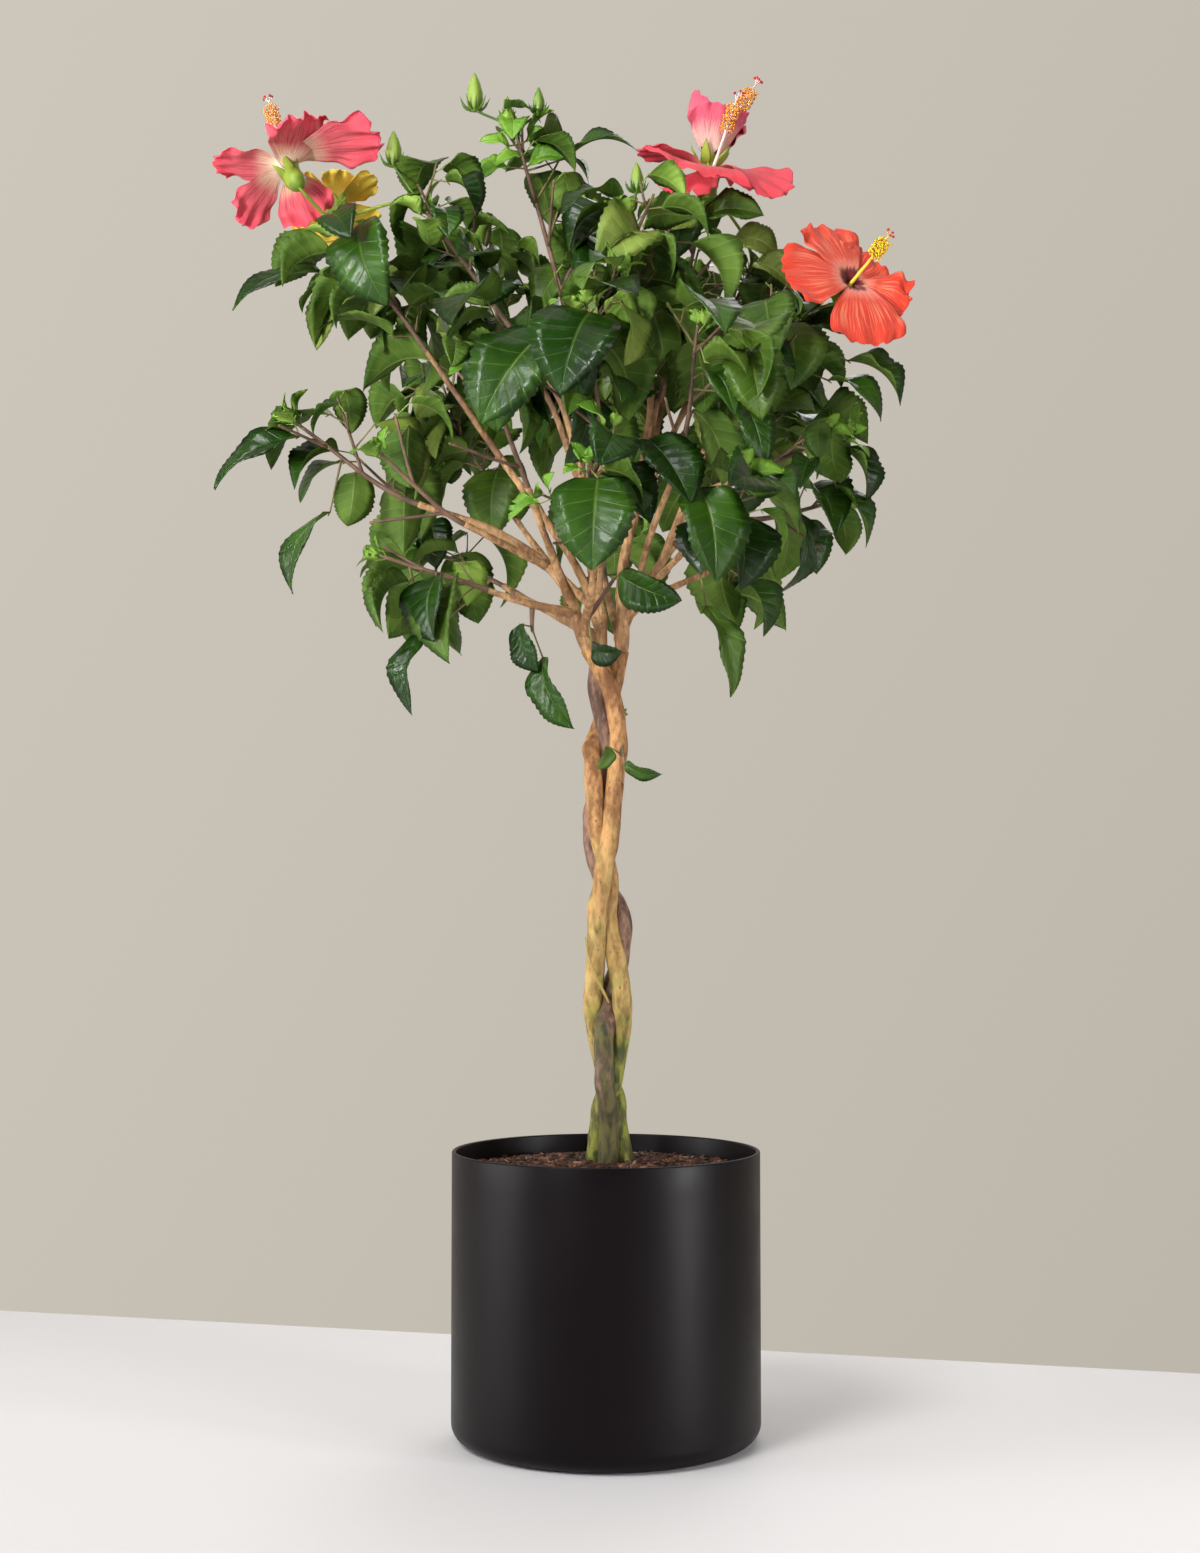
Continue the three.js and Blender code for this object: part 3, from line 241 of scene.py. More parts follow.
def step_lengths(line):
    return np.linalg.norm(np.diff(line, axis=0), axis=1)


def lerp(a, b, share):
    return a + (b - a) * share


def smooth(low, high, x):
    """0 below low, 1 above high, and a smooth step between."""
    t = np.clip((x - low) / (high - low), 0, 1)
    return t * t * (3 - 2 * t)


def seeded(seed):
    """A repeatable source of numbers between 0 and 1, the same as the solids'."""
    state = seed

    def draw():
        nonlocal state
        state = (state * 1664525 + 1013904223) % 2 ** 32
        return state / 2 ** 32

    return draw


def cubic(t, start, end, start_slope, end_slope):
    """A cubic from a start to an end, with the given slopes there."""
    return (start * (2 * t ** 3 - 3 * t ** 2 + 1) + start_slope * (t ** 3 - 2 * t ** 2 + t)
            + end * (-2 * t ** 3 + 3 * t ** 2) + end_slope * (t ** 3 - t ** 2))


def smooth_line(places, steps, start_direction=None):
    """A smooth line through the places, with the given start direction."""
    places = [vec(place) for place in places]
    last = len(places) - 1
    slopes = []
    for i in range(last + 1):
        spread = 1 if i in (0, last) else 2
        slopes.append((places[min(i + 1, last)] - places[max(i - 1, 0)]) / spread)
    if start_direction is not None:
        slopes[0] = start_direction * length_of(slopes[0])
    line = []
    for step in range(steps + 1):
        at = step / steps * last
        i = min(int(at), last - 1)
        line.append(cubic(at - i, places[i], places[i + 1], slopes[i], slopes[i + 1]))
    return np.array(line)


def direction_at(line, i):
    return unit(line[min(i + 1, len(line) - 1)] - line[max(i - 1, 0)])


def point_on(line, share):
    at = share * (len(line) - 1)
    i = min(int(at), len(line) - 2)
    return lerp(line[i], line[i + 1], at - i)


def direction_on(line, share):
    i = min(int(share * (len(line) - 1)), len(line) - 2)
    return unit(line[i + 1] - line[i])


def stand_on(line, share):
    return point_on(line, share), direction_on(line, share)


def square_to(direction, hint=None):
    """Two unit vectors square to a direction and to each other."""
    if hint is None:
        hint = UP if abs(direction[2]) < NEARLY_UPRIGHT else np.array((1.0, 0.0, 0.0))
    first = nearest_square(direction, hint)
    return first, np.cross(direction, first)


def nearest_on(line, place):
    """The point of a line that is nearest to a place."""
    starts, runs = line[:-1], np.diff(line, axis=0)
    shares = np.clip(((place - starts) * runs).sum(1) / (runs ** 2).sum(1), 0, 1)
    points = starts + runs * shares[:, None]
    return points[((points - place) ** 2).sum(1).argmin()]


# The limbs


def stem_radius(share):
    height = share * (FORK_HEIGHT - PLAIT[0][0])
    flare = max(0, 1 - height / STEM.flare_height)
    straight = lerp(STEM.radius, STEM.top_radius, share)
    return straight + (STEM.foot_radius - STEM.radius) * flare ** 2


def plait_at(stem, axis, height):
    """One number of the plait at a height: a cubic between the heights of the table."""
    last = len(PLAIT) - 1
    i = 0
    while i < last - 1 and PLAIT[i + 1][0] < height:
        i += 1

    def level(k):
        return PLAIT[min(max(k, 0), last)][0]

    def value(k):
        return PLAIT[min(max(k, 0), last)][1][stem][axis]

    def slope(k):
        return (value(k + 1) - value(k - 1)) / (level(k + 1) - level(k - 1))

    span = level(i + 1) - level(i)
    return cubic((height - level(i)) / span, value(i), value(i + 1), span * slope(i), span * slope(i + 1))


def plait_lines():
    """The stems' centre lines, pressed apart at every level until no two share a place."""
    lines = [[], [], []]
    for level in range(STEM.levels + 1):
        share = level / STEM.levels
        height = PLAIT[0][0] + share * (FORK_HEIGHT - PLAIT[0][0])
        places = [vec((plait_at(stem, 0, height), plait_at(stem, 1, height), height)) for stem in range(3)]
        apart = 2 * (stem_radius(share) + GAP + STEM.lean)
        for _ in range(STEM.rounds):
            for a, b in ((0, 1), (1, 2), (0, 2)):
                between = places[b] - places[a]
                length = length_of(between)
                push = (apart - length) / 2
                if push > 0:
                    places[a] = places[a] - between / length * push
                    places[b] = places[b] + between / length * push
        for line, place in zip(lines, places):
            line.append(place)
    return [np.array(line) for line in lines]


def bough_radii(first, count):
    """A bough's radii at a count of places, from its foot to its tip."""
    return first + (BOUGH.tip_radius - first) * np.linspace(0, 1, count) ** BOUGH.taper


def bough_limb(row, limbs):
    parent = limbs[row["on"]]
    on_top = row["share"] == 1
    start = parent["line"][-1] + UP * GAP if on_top else point_on(parent["line"], row["share"])
    parent_radius = point_on(parent["radii"], row["share"])
    first = parent_radius if on_top else max(parent_radius * BOUGH.share_of_parent, BOUGH.least_radius)
    lead = direction_on(parent["line"], 1) if on_top else None
    steps = BOUGH.bent_steps if len(row["via"]) > 1 else BOUGH.steps
    places = [start, *row["via"], row["tip"]]
    return dict(line=smooth_line(places, steps, lead), places=places, lead=lead, first=first,
                radii=bough_radii(first, steps + 1), on_top=on_top)


def make_limbs():
    limbs = {}
    for i, line in enumerate(plait_lines()):
        radii = [stem_radius(level / STEM.levels) for level in range(STEM.levels + 1)]
        limbs[f"stem_{i + 1}"] = dict(line=line, radii=np.array(radii))
    for row in BRANCHES:
        if row["tip"]:
            limbs[row["name"]] = bough_limb(row, limbs)
    return limbs


# The space of each mass: its side of the plane midway to every other mass's shoot, within reach.


def closest_between(a, b):
    """The places where two straight shoots come nearest, one on each."""
    best = None
    parts = 24
    run = b[1] - b[0]
    for i in range(parts + 1):
        on_a = lerp(a[0], a[1], i / parts)
        share = min(max((on_a - b[0]) @ run / (run @ run), 0), 1)
        on_b = b[0] + run * share
        distance = length_of(on_a - on_b)
        if best is None or distance < best[0]:
            best = (distance, on_a, on_b)
    return best[1], best[2]


def walls_of(spines, index):
    """The outward directions and limits of a mass's walls, as two arrays."""
    outwards, limits = [], []
    for other in range(len(spines)):
        if other == index:
            continue
        low, high = min(index, other), max(index, other)
        on_low, on_high = closest_between(spines[low], spines[high])
        outward = unit(on_high - on_low if index == low else on_low - on_high)
        outwards.append(outward)
        limits.append(outward @ lerp(on_low, on_high, 0.5))
    return np.array(outwards), np.array(limits)


def distances_to(points, starts, ends):
    """Distance from each point to each stretch between a start and an end, as a table."""
    runs = ends - starts
    offsets = points[:, None, :] - starts[None, :, :]
    shares = np.clip((offsets * runs).sum(2) / (runs ** 2).sum(1), 0, 1)
    return np.sqrt(((offsets - runs * shares[..., None]) ** 2).sum(2))


NO_BOX = (-math.inf, math.inf)


def in_space(points, space, margin):
    """Whether points lie in the space of a mass, a margin within its walls."""
    if (points[:, 2] < space["lowest"]).any():
        return False
    if (points < space["box"][0]).any() or (points > space["box"][1]).any():
        return False
    spine = space["spine"]
    if (distances_to(points, spine[0][None], spine[1][None]) > space["reach"]).any():
        return False
    outwards, limits = space["walls"]
    return bool((points @ outwards.T < limits - margin).all())


class Stretches:
    """Straight stretches of limbs or twigs, each with its radius."""

    def __init__(self):
        self.starts = np.zeros((0, 3))
        self.ends = np.zeros((0, 3))
        self.radii = np.zeros(0)

    def add(self, line, radii):
        self.starts = np.vstack((self.starts, line[:-1]))
        self.ends = np.vstack((self.ends, line[1:]))
        self.radii = np.concatenate((self.radii, radii))

    def clear_of(self, points, distance):
        return bool((distances_to(points, self.starts, self.ends) > self.radii + distance).all())


# Leaves. Each is sampled at shares of its length, and of half its width to either side.

ACROSS = (-1, -0.5, 0, 0.5, 1)
SAMPLES = np.array([(u, side) for u in (0.02, 0.16, 0.3, 0.44, 0.58, 0.72, 0.86, 1) for side in ACROSS])


def ball_round(points):
    """The middle of some points, and how far from it the furthest lies."""
    middle = points.mean(0)
    return middle, math.sqrt(((points - middle) ** 2).sum(1).max())


def sample_leaf(leaf):
    """Adds the points that stand for a leaf where it is set against what is near it."""
    u, across = SAMPLES[:, 0], SAMPLES[:, 1]
    shape = np.where(u < LEAF.widest, u / LEAF.widest, (1 - u) / (1 - LEAF.widest))
    x = across * leaf["length"] * leaf["half"] * shape
    leaf["samples"] = (leaf["neck"] + np.outer(leaf["length"] * u, leaf["axis"])
                       + np.outer(leaf["length"] * -leaf["sag"] * u * u + abs(x) * LEAF.fold, leaf["normal"])
                       + np.outer(x, leaf["side"]))
    leaf["middle"], leaf["size"] = ball_round(leaf["samples"])
    return leaf


def make_leaf(node, petiole, heading, length, petiole_length, droop, roll, sag):
    flat = unit(np.array((heading[0], heading[1], 0.0)))
    axis = swung(flat, -UP, droop)
    upright = nearest_square(axis, UP)
    normal = swung(upright, np.cross(axis, upright), roll)
    return sample_leaf(dict(node=node, petiole=petiole, neck=node + petiole * petiole_length, axis=axis,
                            normal=normal, side=np.cross(axis, normal), length=length, sag=sag,
                            half=LEAF.half_width))


def far_apart(points, leaves, distance):
    """Whether every point is further than a distance from every sample of some leaves."""
    middle, size = ball_round(points)
    for leaf in leaves:
        between = leaf["middle"] - middle
        if between @ between > (size + leaf["size"] + distance) ** 2:
            continue
        gaps = ((points[:, None, :] - leaf["samples"][None, :, :]) ** 2).sum(2)
        if gaps.min() <= distance ** 2:
            return False
    return True


def seen(points):
    """Where points show from the photograph's viewpoint, on the upright plane through the pot's axis."""
    eye = vec(EYE)
    nearness = -eye[1] / (points[:, 1] - eye[1])
    return eye + (points - eye) * nearness[:, None]


def open_views(limbs):
    """The stretches of limb that stay in view: their starts and ends as seen, and how deep they lie."""
    lines = [(limbs[name]["line"], start, end) for name, start, end in OPEN_VIEW.boughs]
    rows = {row["name"]: row for row in BRANCHES}
    lines += [(shoot_of(rows[name], limbs)[0], start, end) for name, start, end in OPEN_VIEW.shoots]
    starts, ends, depths = [], [], []
    for line, start, end in lines:
        points = np.array([point_on(line, share) for share in np.linspace(start, end, OPEN_VIEW.parts)])
        shown = seen(points)
        starts.append(shown[:-1])
        ends.append(shown[1:])
        depths.append(points[:-1, 1])
    return np.vstack(starts), np.vstack(ends), np.concatenate(depths)


def hides_limb(points, views):
    """Whether any point stands before a stretch of limb that stays in view."""
    if views is None:
        return False
    starts, ends, depths = views
    near = distances_to(seen(points), starts, ends) < OPEN_VIEW.clearance
    return bool((near & (points[:, None, 1] < depths)).any())


def kept_out(points, setting):
    return any(room(points).any() for room in setting["keep_outs"])


def stands_free(points, mass, setting, from_limbs, spacing):
    """Whether points keep clear of blooms and buds, limbs, single leaves and the mass's own leaves."""
    return (not kept_out(points, setting) and setting["limbs"].clear_of(points, from_limbs)
            and far_apart(points, setting["singles"], SPACE.single_clearance)
            and far_apart(points, mass["leaves"], spacing))


def leaf_fits(leaf, mass, setting, spacing):
    blade = leaf["samples"]
    return (in_space(np.vstack((leaf["neck"][None], blade)), mass["space"], SPACE.margin)
            and not hides_limb(blade, setting["views"])
            and mass["stretches"].clear_of(blade[len(ACROSS):], SPACE.twig_clearance)
            and stands_free(blade, mass, setting, SPACE.limb_clearance, spacing))


def twig_fits(line, mass, setting, spacing):
    inner = line[1:]
    return (in_space(inner, mass["space"], SPACE.margin + TWIG.radius)
            and stands_free(inner, mass, setting, TWIG.radius + SPACE.twig_gap, spacing))


def add_twig(mass, line, radii, kind, places, lead=None):
    mass["twigs"].append(dict(line=line, kind=kind, places=places, lead=lead))
    mass["stretches"].add(line, np.array(radii[:-1], float))


def try_leaf(mass, setting, draw, node, direction, angle, size, spacing=SPACE.leaf_clearance, ease=0):
    """Tries a leaf at a node, turning and drooping it a little more each time until it fits."""
    first, second = square_to(direction)

    def between(low, high):
        return lerp(low, high, draw())

    length = between(LEAF.shortest, LEAF.longest) * size
    petiole_length = length * between(LEAF.petiole_least, LEAF.petiole_most)
    low = min(max(1 - (node[2] - CROWN.bottom) / (CROWN.top - CROWN.bottom), 0), 1)
    droop = between(LEAF.droop_least, LEAF.droop_most) + LEAF.droop_low * low - ease
    roll = between(-LEAF.roll, LEAF.roll)
    sag = between(LEAF.sag_least, LEAF.sag_most)
    for attempt in range(LEAF.tries):
        swing = (-1 if attempt % 2 else 1) * math.ceil(attempt / 2) * LEAF.swing
        radial = swung(first, second, angle + swing)
        petiole = unit(radial + direction * LEAF.lean)
        heading = radial + mass["outward"] * LEAF.facing
        shrink = 1 - attempt * LEAF.shrink
        leaf = make_leaf(node, petiole, heading, length * shrink, petiole_length * shrink,
                         droop + attempt * LEAF.droop_step, roll, sag)
        if leaf_fits(leaf, mass, setting, spacing):
            mass["leaves"].append(dict(leaf, share=size))
            return


def shoot_of(row, limbs):
    """A branch's shoot, from its bough's tip or the side of its limb, with its lead and its start."""
    limb = limbs[row["name"] if row["tip"] else row["on"]]
    if row["tip"]:
        lead = direction_at(limb["line"], len(limb["line"]) - 1)
        start = limb["line"][-1] + lead * GAP
    else:
        lead = None
        start = point_on(limb["line"], row["share"])
    return smooth_line([start, row["end"]], SHOOT.steps, lead), lead, start


def outward_of(row):
    return unit(vec(row["end"]) - UP * CROWN.centre)


def single_leaves(row, limbs, rows=None):
    """The leaves of a branch that stand out singly, each on a stalk or a fine twig from the shoot, or the
    rows of a whorl, which face forward."""
    shoot = shoot_of(row, limbs)[0]
    made = []
    for at, neck, tip, half in row["leaves"] if rows is None else rows:
        neck = vec(neck)
        chord = vec(tip) - neck
        length = length_of(chord)
        direction = chord / length
        root = point_on(shoot, at)
        stalk = length_of(neck - root)
        long_stalk = stalk > LEAF.longest_stalk
        node = lerp(root, neck, 1 - LEAF.longest_stalk / 2 / stalk if long_stalk else 0)
        facing = outward_of(row) * (rows is None) + vec(LEAF.single_facing)
        normal = nearest_square(direction, facing)
        axis = unit(direction + normal * LEAF.single_sag)
        made.append(sample_leaf(dict(
            node=node, neck=neck, axis=axis, normal=normal, side=unit(np.cross(axis, normal)), length=length,
            petiole=unit(neck - node), sag=LEAF.single_sag, half=half / length, owner=row["name"], share=1,
            own_twig=np.array((root, lerp(root, node, 0.5), node)) if long_stalk else None)))
    return made


def grow_mass(row, index, spines, limbs, setting):
    """A branch's twigs and leaves as the solids have them."""
    draw = seeded(SEED + index * SEED_STEP)
    shoot, lead, start = shoot_of(row, limbs)
    mass = dict(
        name=row["name"], outward=outward_of(row), twigs=[], leaves=[], stretches=Stretches(),
        space=dict(spine=spines[index], reach=row["reach"], walls=walls_of(spines, index),
                   lowest=row["lowest"], box=NO_BOX))
    first = BOUGH.tip_radius if row["tip"] else TWIG.radius
    radii = [lerp(first, SHOOT.tip_radius, i / SHOOT.steps) for i in range(SHOOT.steps + 1)]
    add_twig(mass, shoot, radii, "shoot", (start, vec(row["end"])), lead)
    singles = [leaf for leaf in setting["singles"] if leaf["owner"] == row["name"]]
    for line in [leaf["own_twig"] for leaf in singles if leaf["own_twig"] is not None]:
        add_twig(mass, line, TWIG.radii, "stalk", line[[0, -1]])
    if row["tip"]:
        grow_shoot(mass, setting, draw, shoot)
    mass["leaves"].extend(singles)
    return mass


def grow_shoot(mass, setting, draw, shoot):
    """Leaves at every node of a shoot, a side twig at some of them, and a rosette at its tip."""
    nodes = int(length_of(shoot[-1] - shoot[0]) / SHOOT.node_step + 0.5)
    angle = draw() * math.tau
    for i in range(1, nodes):
        share = i / nodes
        angle += GOLDEN_ANGLE
        place, direction = stand_on(shoot, share)
        if i % TWIG.every == 1:
            grow_twig(mass, setting, draw, place, direction, angle + math.pi, share)
        try_leaf(mass, setting, draw, place, direction, angle, 1)
    grow_rosette(mass, setting, draw, *stand_on(shoot, 1), angle, ROSETTE.shoot)


def side_twig(mass, setting, root, carrier_direction, angle, length, kind, rule, spacing):
    """Tries a straight twig from the side of a carrier, turning it until it fits. Gives its line, its length
    and the angle it took, or nothing."""
    first, second = square_to(carrier_direction)
    for attempt in range(rule.tries):
        turned = angle + attempt * TWIG.swing
        across = swung(first, second, turned)
        direction = unit(swung(carrier_direction, across, rule.angle) + mass["outward"] * TWIG.outward)
        tried = length * (1 - attempt * rule.shrink)
        end = root + direction * tried + UP * tried * TWIG.lift
        line = smooth_line([root, end], len(rule.radii) - 1, direction)
        if twig_fits(line, mass, setting, spacing):
            add_twig(mass, line, rule.radii, kind, (root, end), direction)
            return line, tried, turned
    return None


def grow_twig(mass, setting, draw, root, direction, angle, share):
    length = lerp(TWIG.longest, TWIG.shortest, share)
    grown = side_twig(mass, setting, root, direction, angle, length, "twig", TWIG, SPACE.leaf_clearance)
    if grown:
        line, length, _ = grown
        nodes = max(TWIG.least_nodes, int(length / SHOOT.node_step + 0.5))
        turn = draw() * math.tau
        for i in range(1, nodes):
            turn += GOLDEN_ANGLE
            try_leaf(mass, setting, draw, *stand_on(line, i / nodes), turn, 1)
        grow_rosette(mass, setting, draw, *stand_on(line, 1), turn, ROSETTE.twig)


def grow_rosette(mass, setting, draw, tip, direction, angle, sizes, spacing=SPACE.leaf_clearance, ease=0):
    """Leaves close together round a tip, the youngest smallest."""
    for i, size in enumerate(sizes):
        node = tip - direction * (ROSETTE.step * (len(sizes) - 1 - i) + ROSETTE.inset)
        try_leaf(mass, setting, draw, node, direction, angle + (i + 1) * GOLDEN_ANGLE, size, spacing, ease)


def grow_tuft(mass, setting, draw, tip, direction):
    """Young leaves close together at a tip, the innermost smallest and most upright."""
    first, second = square_to(direction)
    angle = draw() * math.tau
    last = len(TUFT.sizes) - 1
    for i, size in enumerate(TUFT.sizes):
        angle += GOLDEN_ANGLE
        opened = lerp(TUFT.widest_angle, TUFT.least_angle, i / last)
        radial = swung(first, second, angle)
        axis = unit(swung(direction, radial, opened) + UP * TUFT.lift)
        normal = unit(np.cross(np.cross(axis, direction - radial * TUFT.cupped), axis))
        length = LEAF.longest * size * lerp(*TUFT.lengths, draw())
        node = tip - direction * TUFT.step * (last - i)
        leaf = sample_leaf(dict(node=node, petiole=axis, neck=node + axis * length * TUFT.stalk, axis=axis,
                                normal=normal, side=np.cross(axis, normal), length=length, sag=TUFT.sag,
                                half=TUFT.half_width, share=size, tuft=True))
        if in_space(leaf["samples"], mass["space"], 0) and not kept_out(leaf["samples"], setting):
            mass["leaves"].append(leaf)


def grow_finer(row, index, limbs, mass, setting):
    """Shorter twigs and smaller leaves between those of the solids, in the same space."""
    draw = seeded(FINE.seed + index * SEED_STEP)
    carriers = [(twig["line"], FINE.first) for twig in mass["twigs"] if twig["kind"] != "stalk"]
    carriers.append((limbs[row["name"]]["line"], FINE.bough_from))
    for line, start in carriers:
        nodes = max(int(step_lengths(line).sum() * (1 - start) / FINE.node_step), 1)
        angle = draw() * math.tau
        for i in range(nodes):
            share = lerp(start, 1, i / nodes)
            angle += GOLDEN_ANGLE
            place, direction = stand_on(line, share)
            if draw() > np.interp(place[2], *FINE.kept):
                continue
            if i % 2 == 0:
                grow_spur(mass, setting, draw, place, direction, angle)
            try_leaf(mass, setting, draw, place, direction, angle + math.pi, FINE.size, FINE.spacing,
                     FINE.ease)
    for twig in mass["twigs"]:
        if draw() < TUFT.shares.get(twig["kind"], 0):
            line = twig["line"]
            grow_tuft(mass, setting, draw, line[-1], direction_on(line, 1))


def grow_spur(mass, setting, draw, root, direction, angle):
    """A short side twig with a rosette of small leaves."""
    length = lerp(FINE.shortest, FINE.longest, draw())
    grown = side_twig(mass, setting, root, direction, angle, length, "spur", FINE, FINE.spacing)
    if grown:
        line, _, turned = grown
        grow_rosette(mass, setting, draw, *stand_on(line, 1), turned, FINE.rosette, FINE.spacing, FINE.ease)


# The room that leaves keep out of: each bloom's disc and column, and each bud


def bloom_room(bloom):
    eye, facing, reach = vec(bloom["eye"]), unit(vec(bloom["facing"])), bloom["radius"]

    def inside(points):
        offsets = points - eye
        ahead = offsets @ facing
        aside = np.sqrt(np.maximum((offsets ** 2).sum(1) - ahead ** 2, 0))
        near_disc = (abs(ahead) < BLOOM.depth) & (aside < reach + SPACE.bloom_clearance)
        near_column = (ahead >= 0) & (ahead < BLOOM.column * reach) & (aside < BLOOM.column_room)
        return near_disc | near_column

    return inside


def bud_room(bud):
    centre = vec(bud["tip"]) - UP * bud["length"] / 2
    reach = bud["length"] / 2 + SPACE.bloom_clearance
    return lambda points: np.sqrt(((points - centre) ** 2).sum(1)) < reach


def grow_plant():
    """The limbs by name, and the masses of twigs and leaves in the order of the branches."""
    limbs = make_limbs()
    blocked = Stretches()
    for limb in limbs.values():
        blocked.add(limb["line"], np.maximum(limb["radii"][:-1], limb["radii"][1:]))
    setting = dict(
        limbs=blocked, keep_outs=[*map(bloom_room, BLOOMS), *map(bud_room, BUDS)], views=None,
        singles=[leaf for row in BRANCHES for leaf in single_leaves(row, limbs)])
    spines = []
    for row in BRANCHES:
        root = vec(row["tip"]) if row["tip"] else point_on(limbs[row["on"]]["line"], row["share"])
        spines.append((root, vec(row["end"])))
    masses = [grow_mass(row, index, spines, limbs, setting) for index, row in enumerate(BRANCHES)]
    setting["views"] = open_views(limbs)
    draw = seeded(THINNED.seed)
    for mass in masses:
        mass["leaves"] = [leaf for leaf in mass["leaves"]
                          if "owner" in leaf or not hides_limb(leaf["samples"], setting["views"])
                          and draw() < np.interp(leaf["neck"][2], THINNED.heights, THINNED.kept)]
    box = [vec(corner) / MM + FINE.beyond_solids * side for corner, side in zip(cad_box, (-1, 1))]
    for index, row in enumerate(BRANCHES):
        masses[index]["space"]["box"] = box
        if row["tip"]:
            grow_finer(row, index, limbs, masses[index], setting)
        added = single_leaves(row, limbs, WHORLS.get(row["name"], ()))
        masses[index]["leaves"].extend(dict(leaf, added=row["name"]) for leaf in added)
    return limbs, masses


# Meshes: points and faces gathered in millimetres, then written as one piece in metres


class Shape:
    """Points and faces gathered for one piece."""

    def __init__(self):
        self.points, self.surface, self.faces, self.looks, self.size = [], [], [], [], 0

    def add(self, points, blocks, surface=None):
        """Adds points, with their place on the surface from 0 to 1, and blocks of (faces, material)."""
        self.points.append(points)
        self.surface.append(np.zeros((len(points), 2)) if surface is None else surface)
        for faces, look in blocks:
            self.faces.append(faces + self.size)
            self.looks.append(np.broadcast_to(look, len(faces)))
        self.size += len(points)


def make_piece(name, shape, looks, nodes=()):
    """The piece of the plant that a shape makes, standing for some of the solids."""
    corners = np.concatenate([block.ravel() for block in shape.faces]).astype(np.int32)
    sizes = np.concatenate([np.full(len(block), block.shape[1]) for block in shape.faces])
    mesh = bpy.data.meshes.new(name)
    mesh.vertices.add(shape.size)
    mesh.vertices.foreach_set("co", (np.concatenate(shape.points) * MM).ravel())
    mesh.loops.add(len(corners))
    mesh.loops.foreach_set("vertex_index", corners)
    mesh.polygons.add(len(sizes))
    mesh.polygons.foreach_set("loop_start", (np.cumsum(sizes) - sizes).astype(np.int32))
    mesh.polygons.foreach_set("material_index", np.concatenate(shape.looks).astype(np.int32))
    surface = mesh.uv_layers.new(name="surface")
    surface.data.foreach_set("uv", np.concatenate(shape.surface)[corners].ravel())
    mesh.update(calc_edges=True)
    mesh.shade_smooth()
    for look in looks:
        mesh.materials.append(look)
    piece = bpy.data.objects.new(name, mesh)
    bpy.context.collection.objects.link(piece)
    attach(piece, "root")
    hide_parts(*nodes)


def grid_faces(rows, columns, closed=False):
    """Four-cornered faces between rows of points, each row joined into a ring where it is closed."""
    row, column = np.meshgrid(np.arange(rows - 1), np.arange(columns - (not closed)), indexing="ij")
    a = row * columns + column
    b = row * columns + (column + 1) % columns
    return np.stack((a, b, b + columns, a + columns), -1).reshape(-1, 4)


def fan_faces(ring, middle, backwards=False):
    """Three-cornered faces between a ring of points and the point in its middle."""
    after = np.roll(ring, -1)
    pair = (after, ring) if backwards else (ring, after)
    return np.stack((*pair, np.full(len(ring), middle)), -1)


def circle(sides):
    return np.arange(sides) / sides * math.tau


def closed_skin(shape, rings, start, end, look=0):
    """A skin over a table of rings of points, with a point at either end that closes it."""
    count, sides = rings.shape[:2]
    points = np.vstack((rings.reshape(-1, 3), (start, end)))
    surface = np.stack(np.meshgrid(np.arange(sides) / sides, np.linspace(0, 1, count)), -1).reshape(-1, 2)
    first, middle = np.arange(sides), count * sides
    blocks = (grid_faces(count, sides, True), fan_faces(first, middle, True),
              fan_faces(first + middle - sides, middle + 1))
    shape.add(points, [(block, look) for block in blocks], np.vstack((surface, ((0, 0), (0, 1)))))


def lumps(points, size, seed, waves=6):
    """A smooth repeatable field, mostly between -1 and 1, with lumps of about a given size."""
    draw = np.random.default_rng(seed)
    directions = draw.normal(size=(waves, 3))
    directions /= np.linalg.norm(directions, axis=1)[:, None]
    phases = draw.uniform(0, math.tau, waves)
    return np.sin(points @ directions.T * (math.pi / size) + phases).sum(-1) / math.sqrt(waves)


def spaced(values, count):
    """One or more values spread evenly over a count of places, with straight steps between them."""
    values = np.atleast_1d(values)
    return np.interp(np.linspace(0, 1, count), np.linspace(0, 1, len(values)), values)


def tube(shape, line, radii, sides=6, look=0, flat=1, hint=None, relief=None):
    """A closed tube along a line. Its section is `flat` times as thick across its second direction."""
    directions = np.gradient(line, axis=0)
    directions /= np.linalg.norm(directions, axis=1)[:, None]
    first = square_to(directions[0], hint)[0]
    firsts = []
    for direction in directions:
        first = nearest_square(direction, first)
        firsts.append(first)
    firsts = np.array(firsts)[:, None]
    seconds = np.cross(directions, firsts[:, 0])[:, None]
    turns = circle(sides)[None, :, None]
    outward = np.cos(turns) * firsts + flat * np.sin(turns) * seconds
    rings = line[:, None] + outward * spaced(radii, len(line))[:, None, None]
    if relief:
        rings = rings + outward * relief(rings, outward)[..., None]
    closed_skin(shape, rings, line[0], line[-1], look)


BALL_PINCH = 0.12


def ball(shape, centre, radius, look=0, stretch=None, rows=4, sides=6):
    """A small ball, drawn out along a direction by the vector `stretch`."""
    stretch = UP * radius if stretch is None else stretch
    angles = np.linspace(BALL_PINCH, math.pi - BALL_PINCH, rows + 1)
    tube(shape, centre - stretch * np.cos(angles)[:, None], radius * np.sin(angles), sides, look)


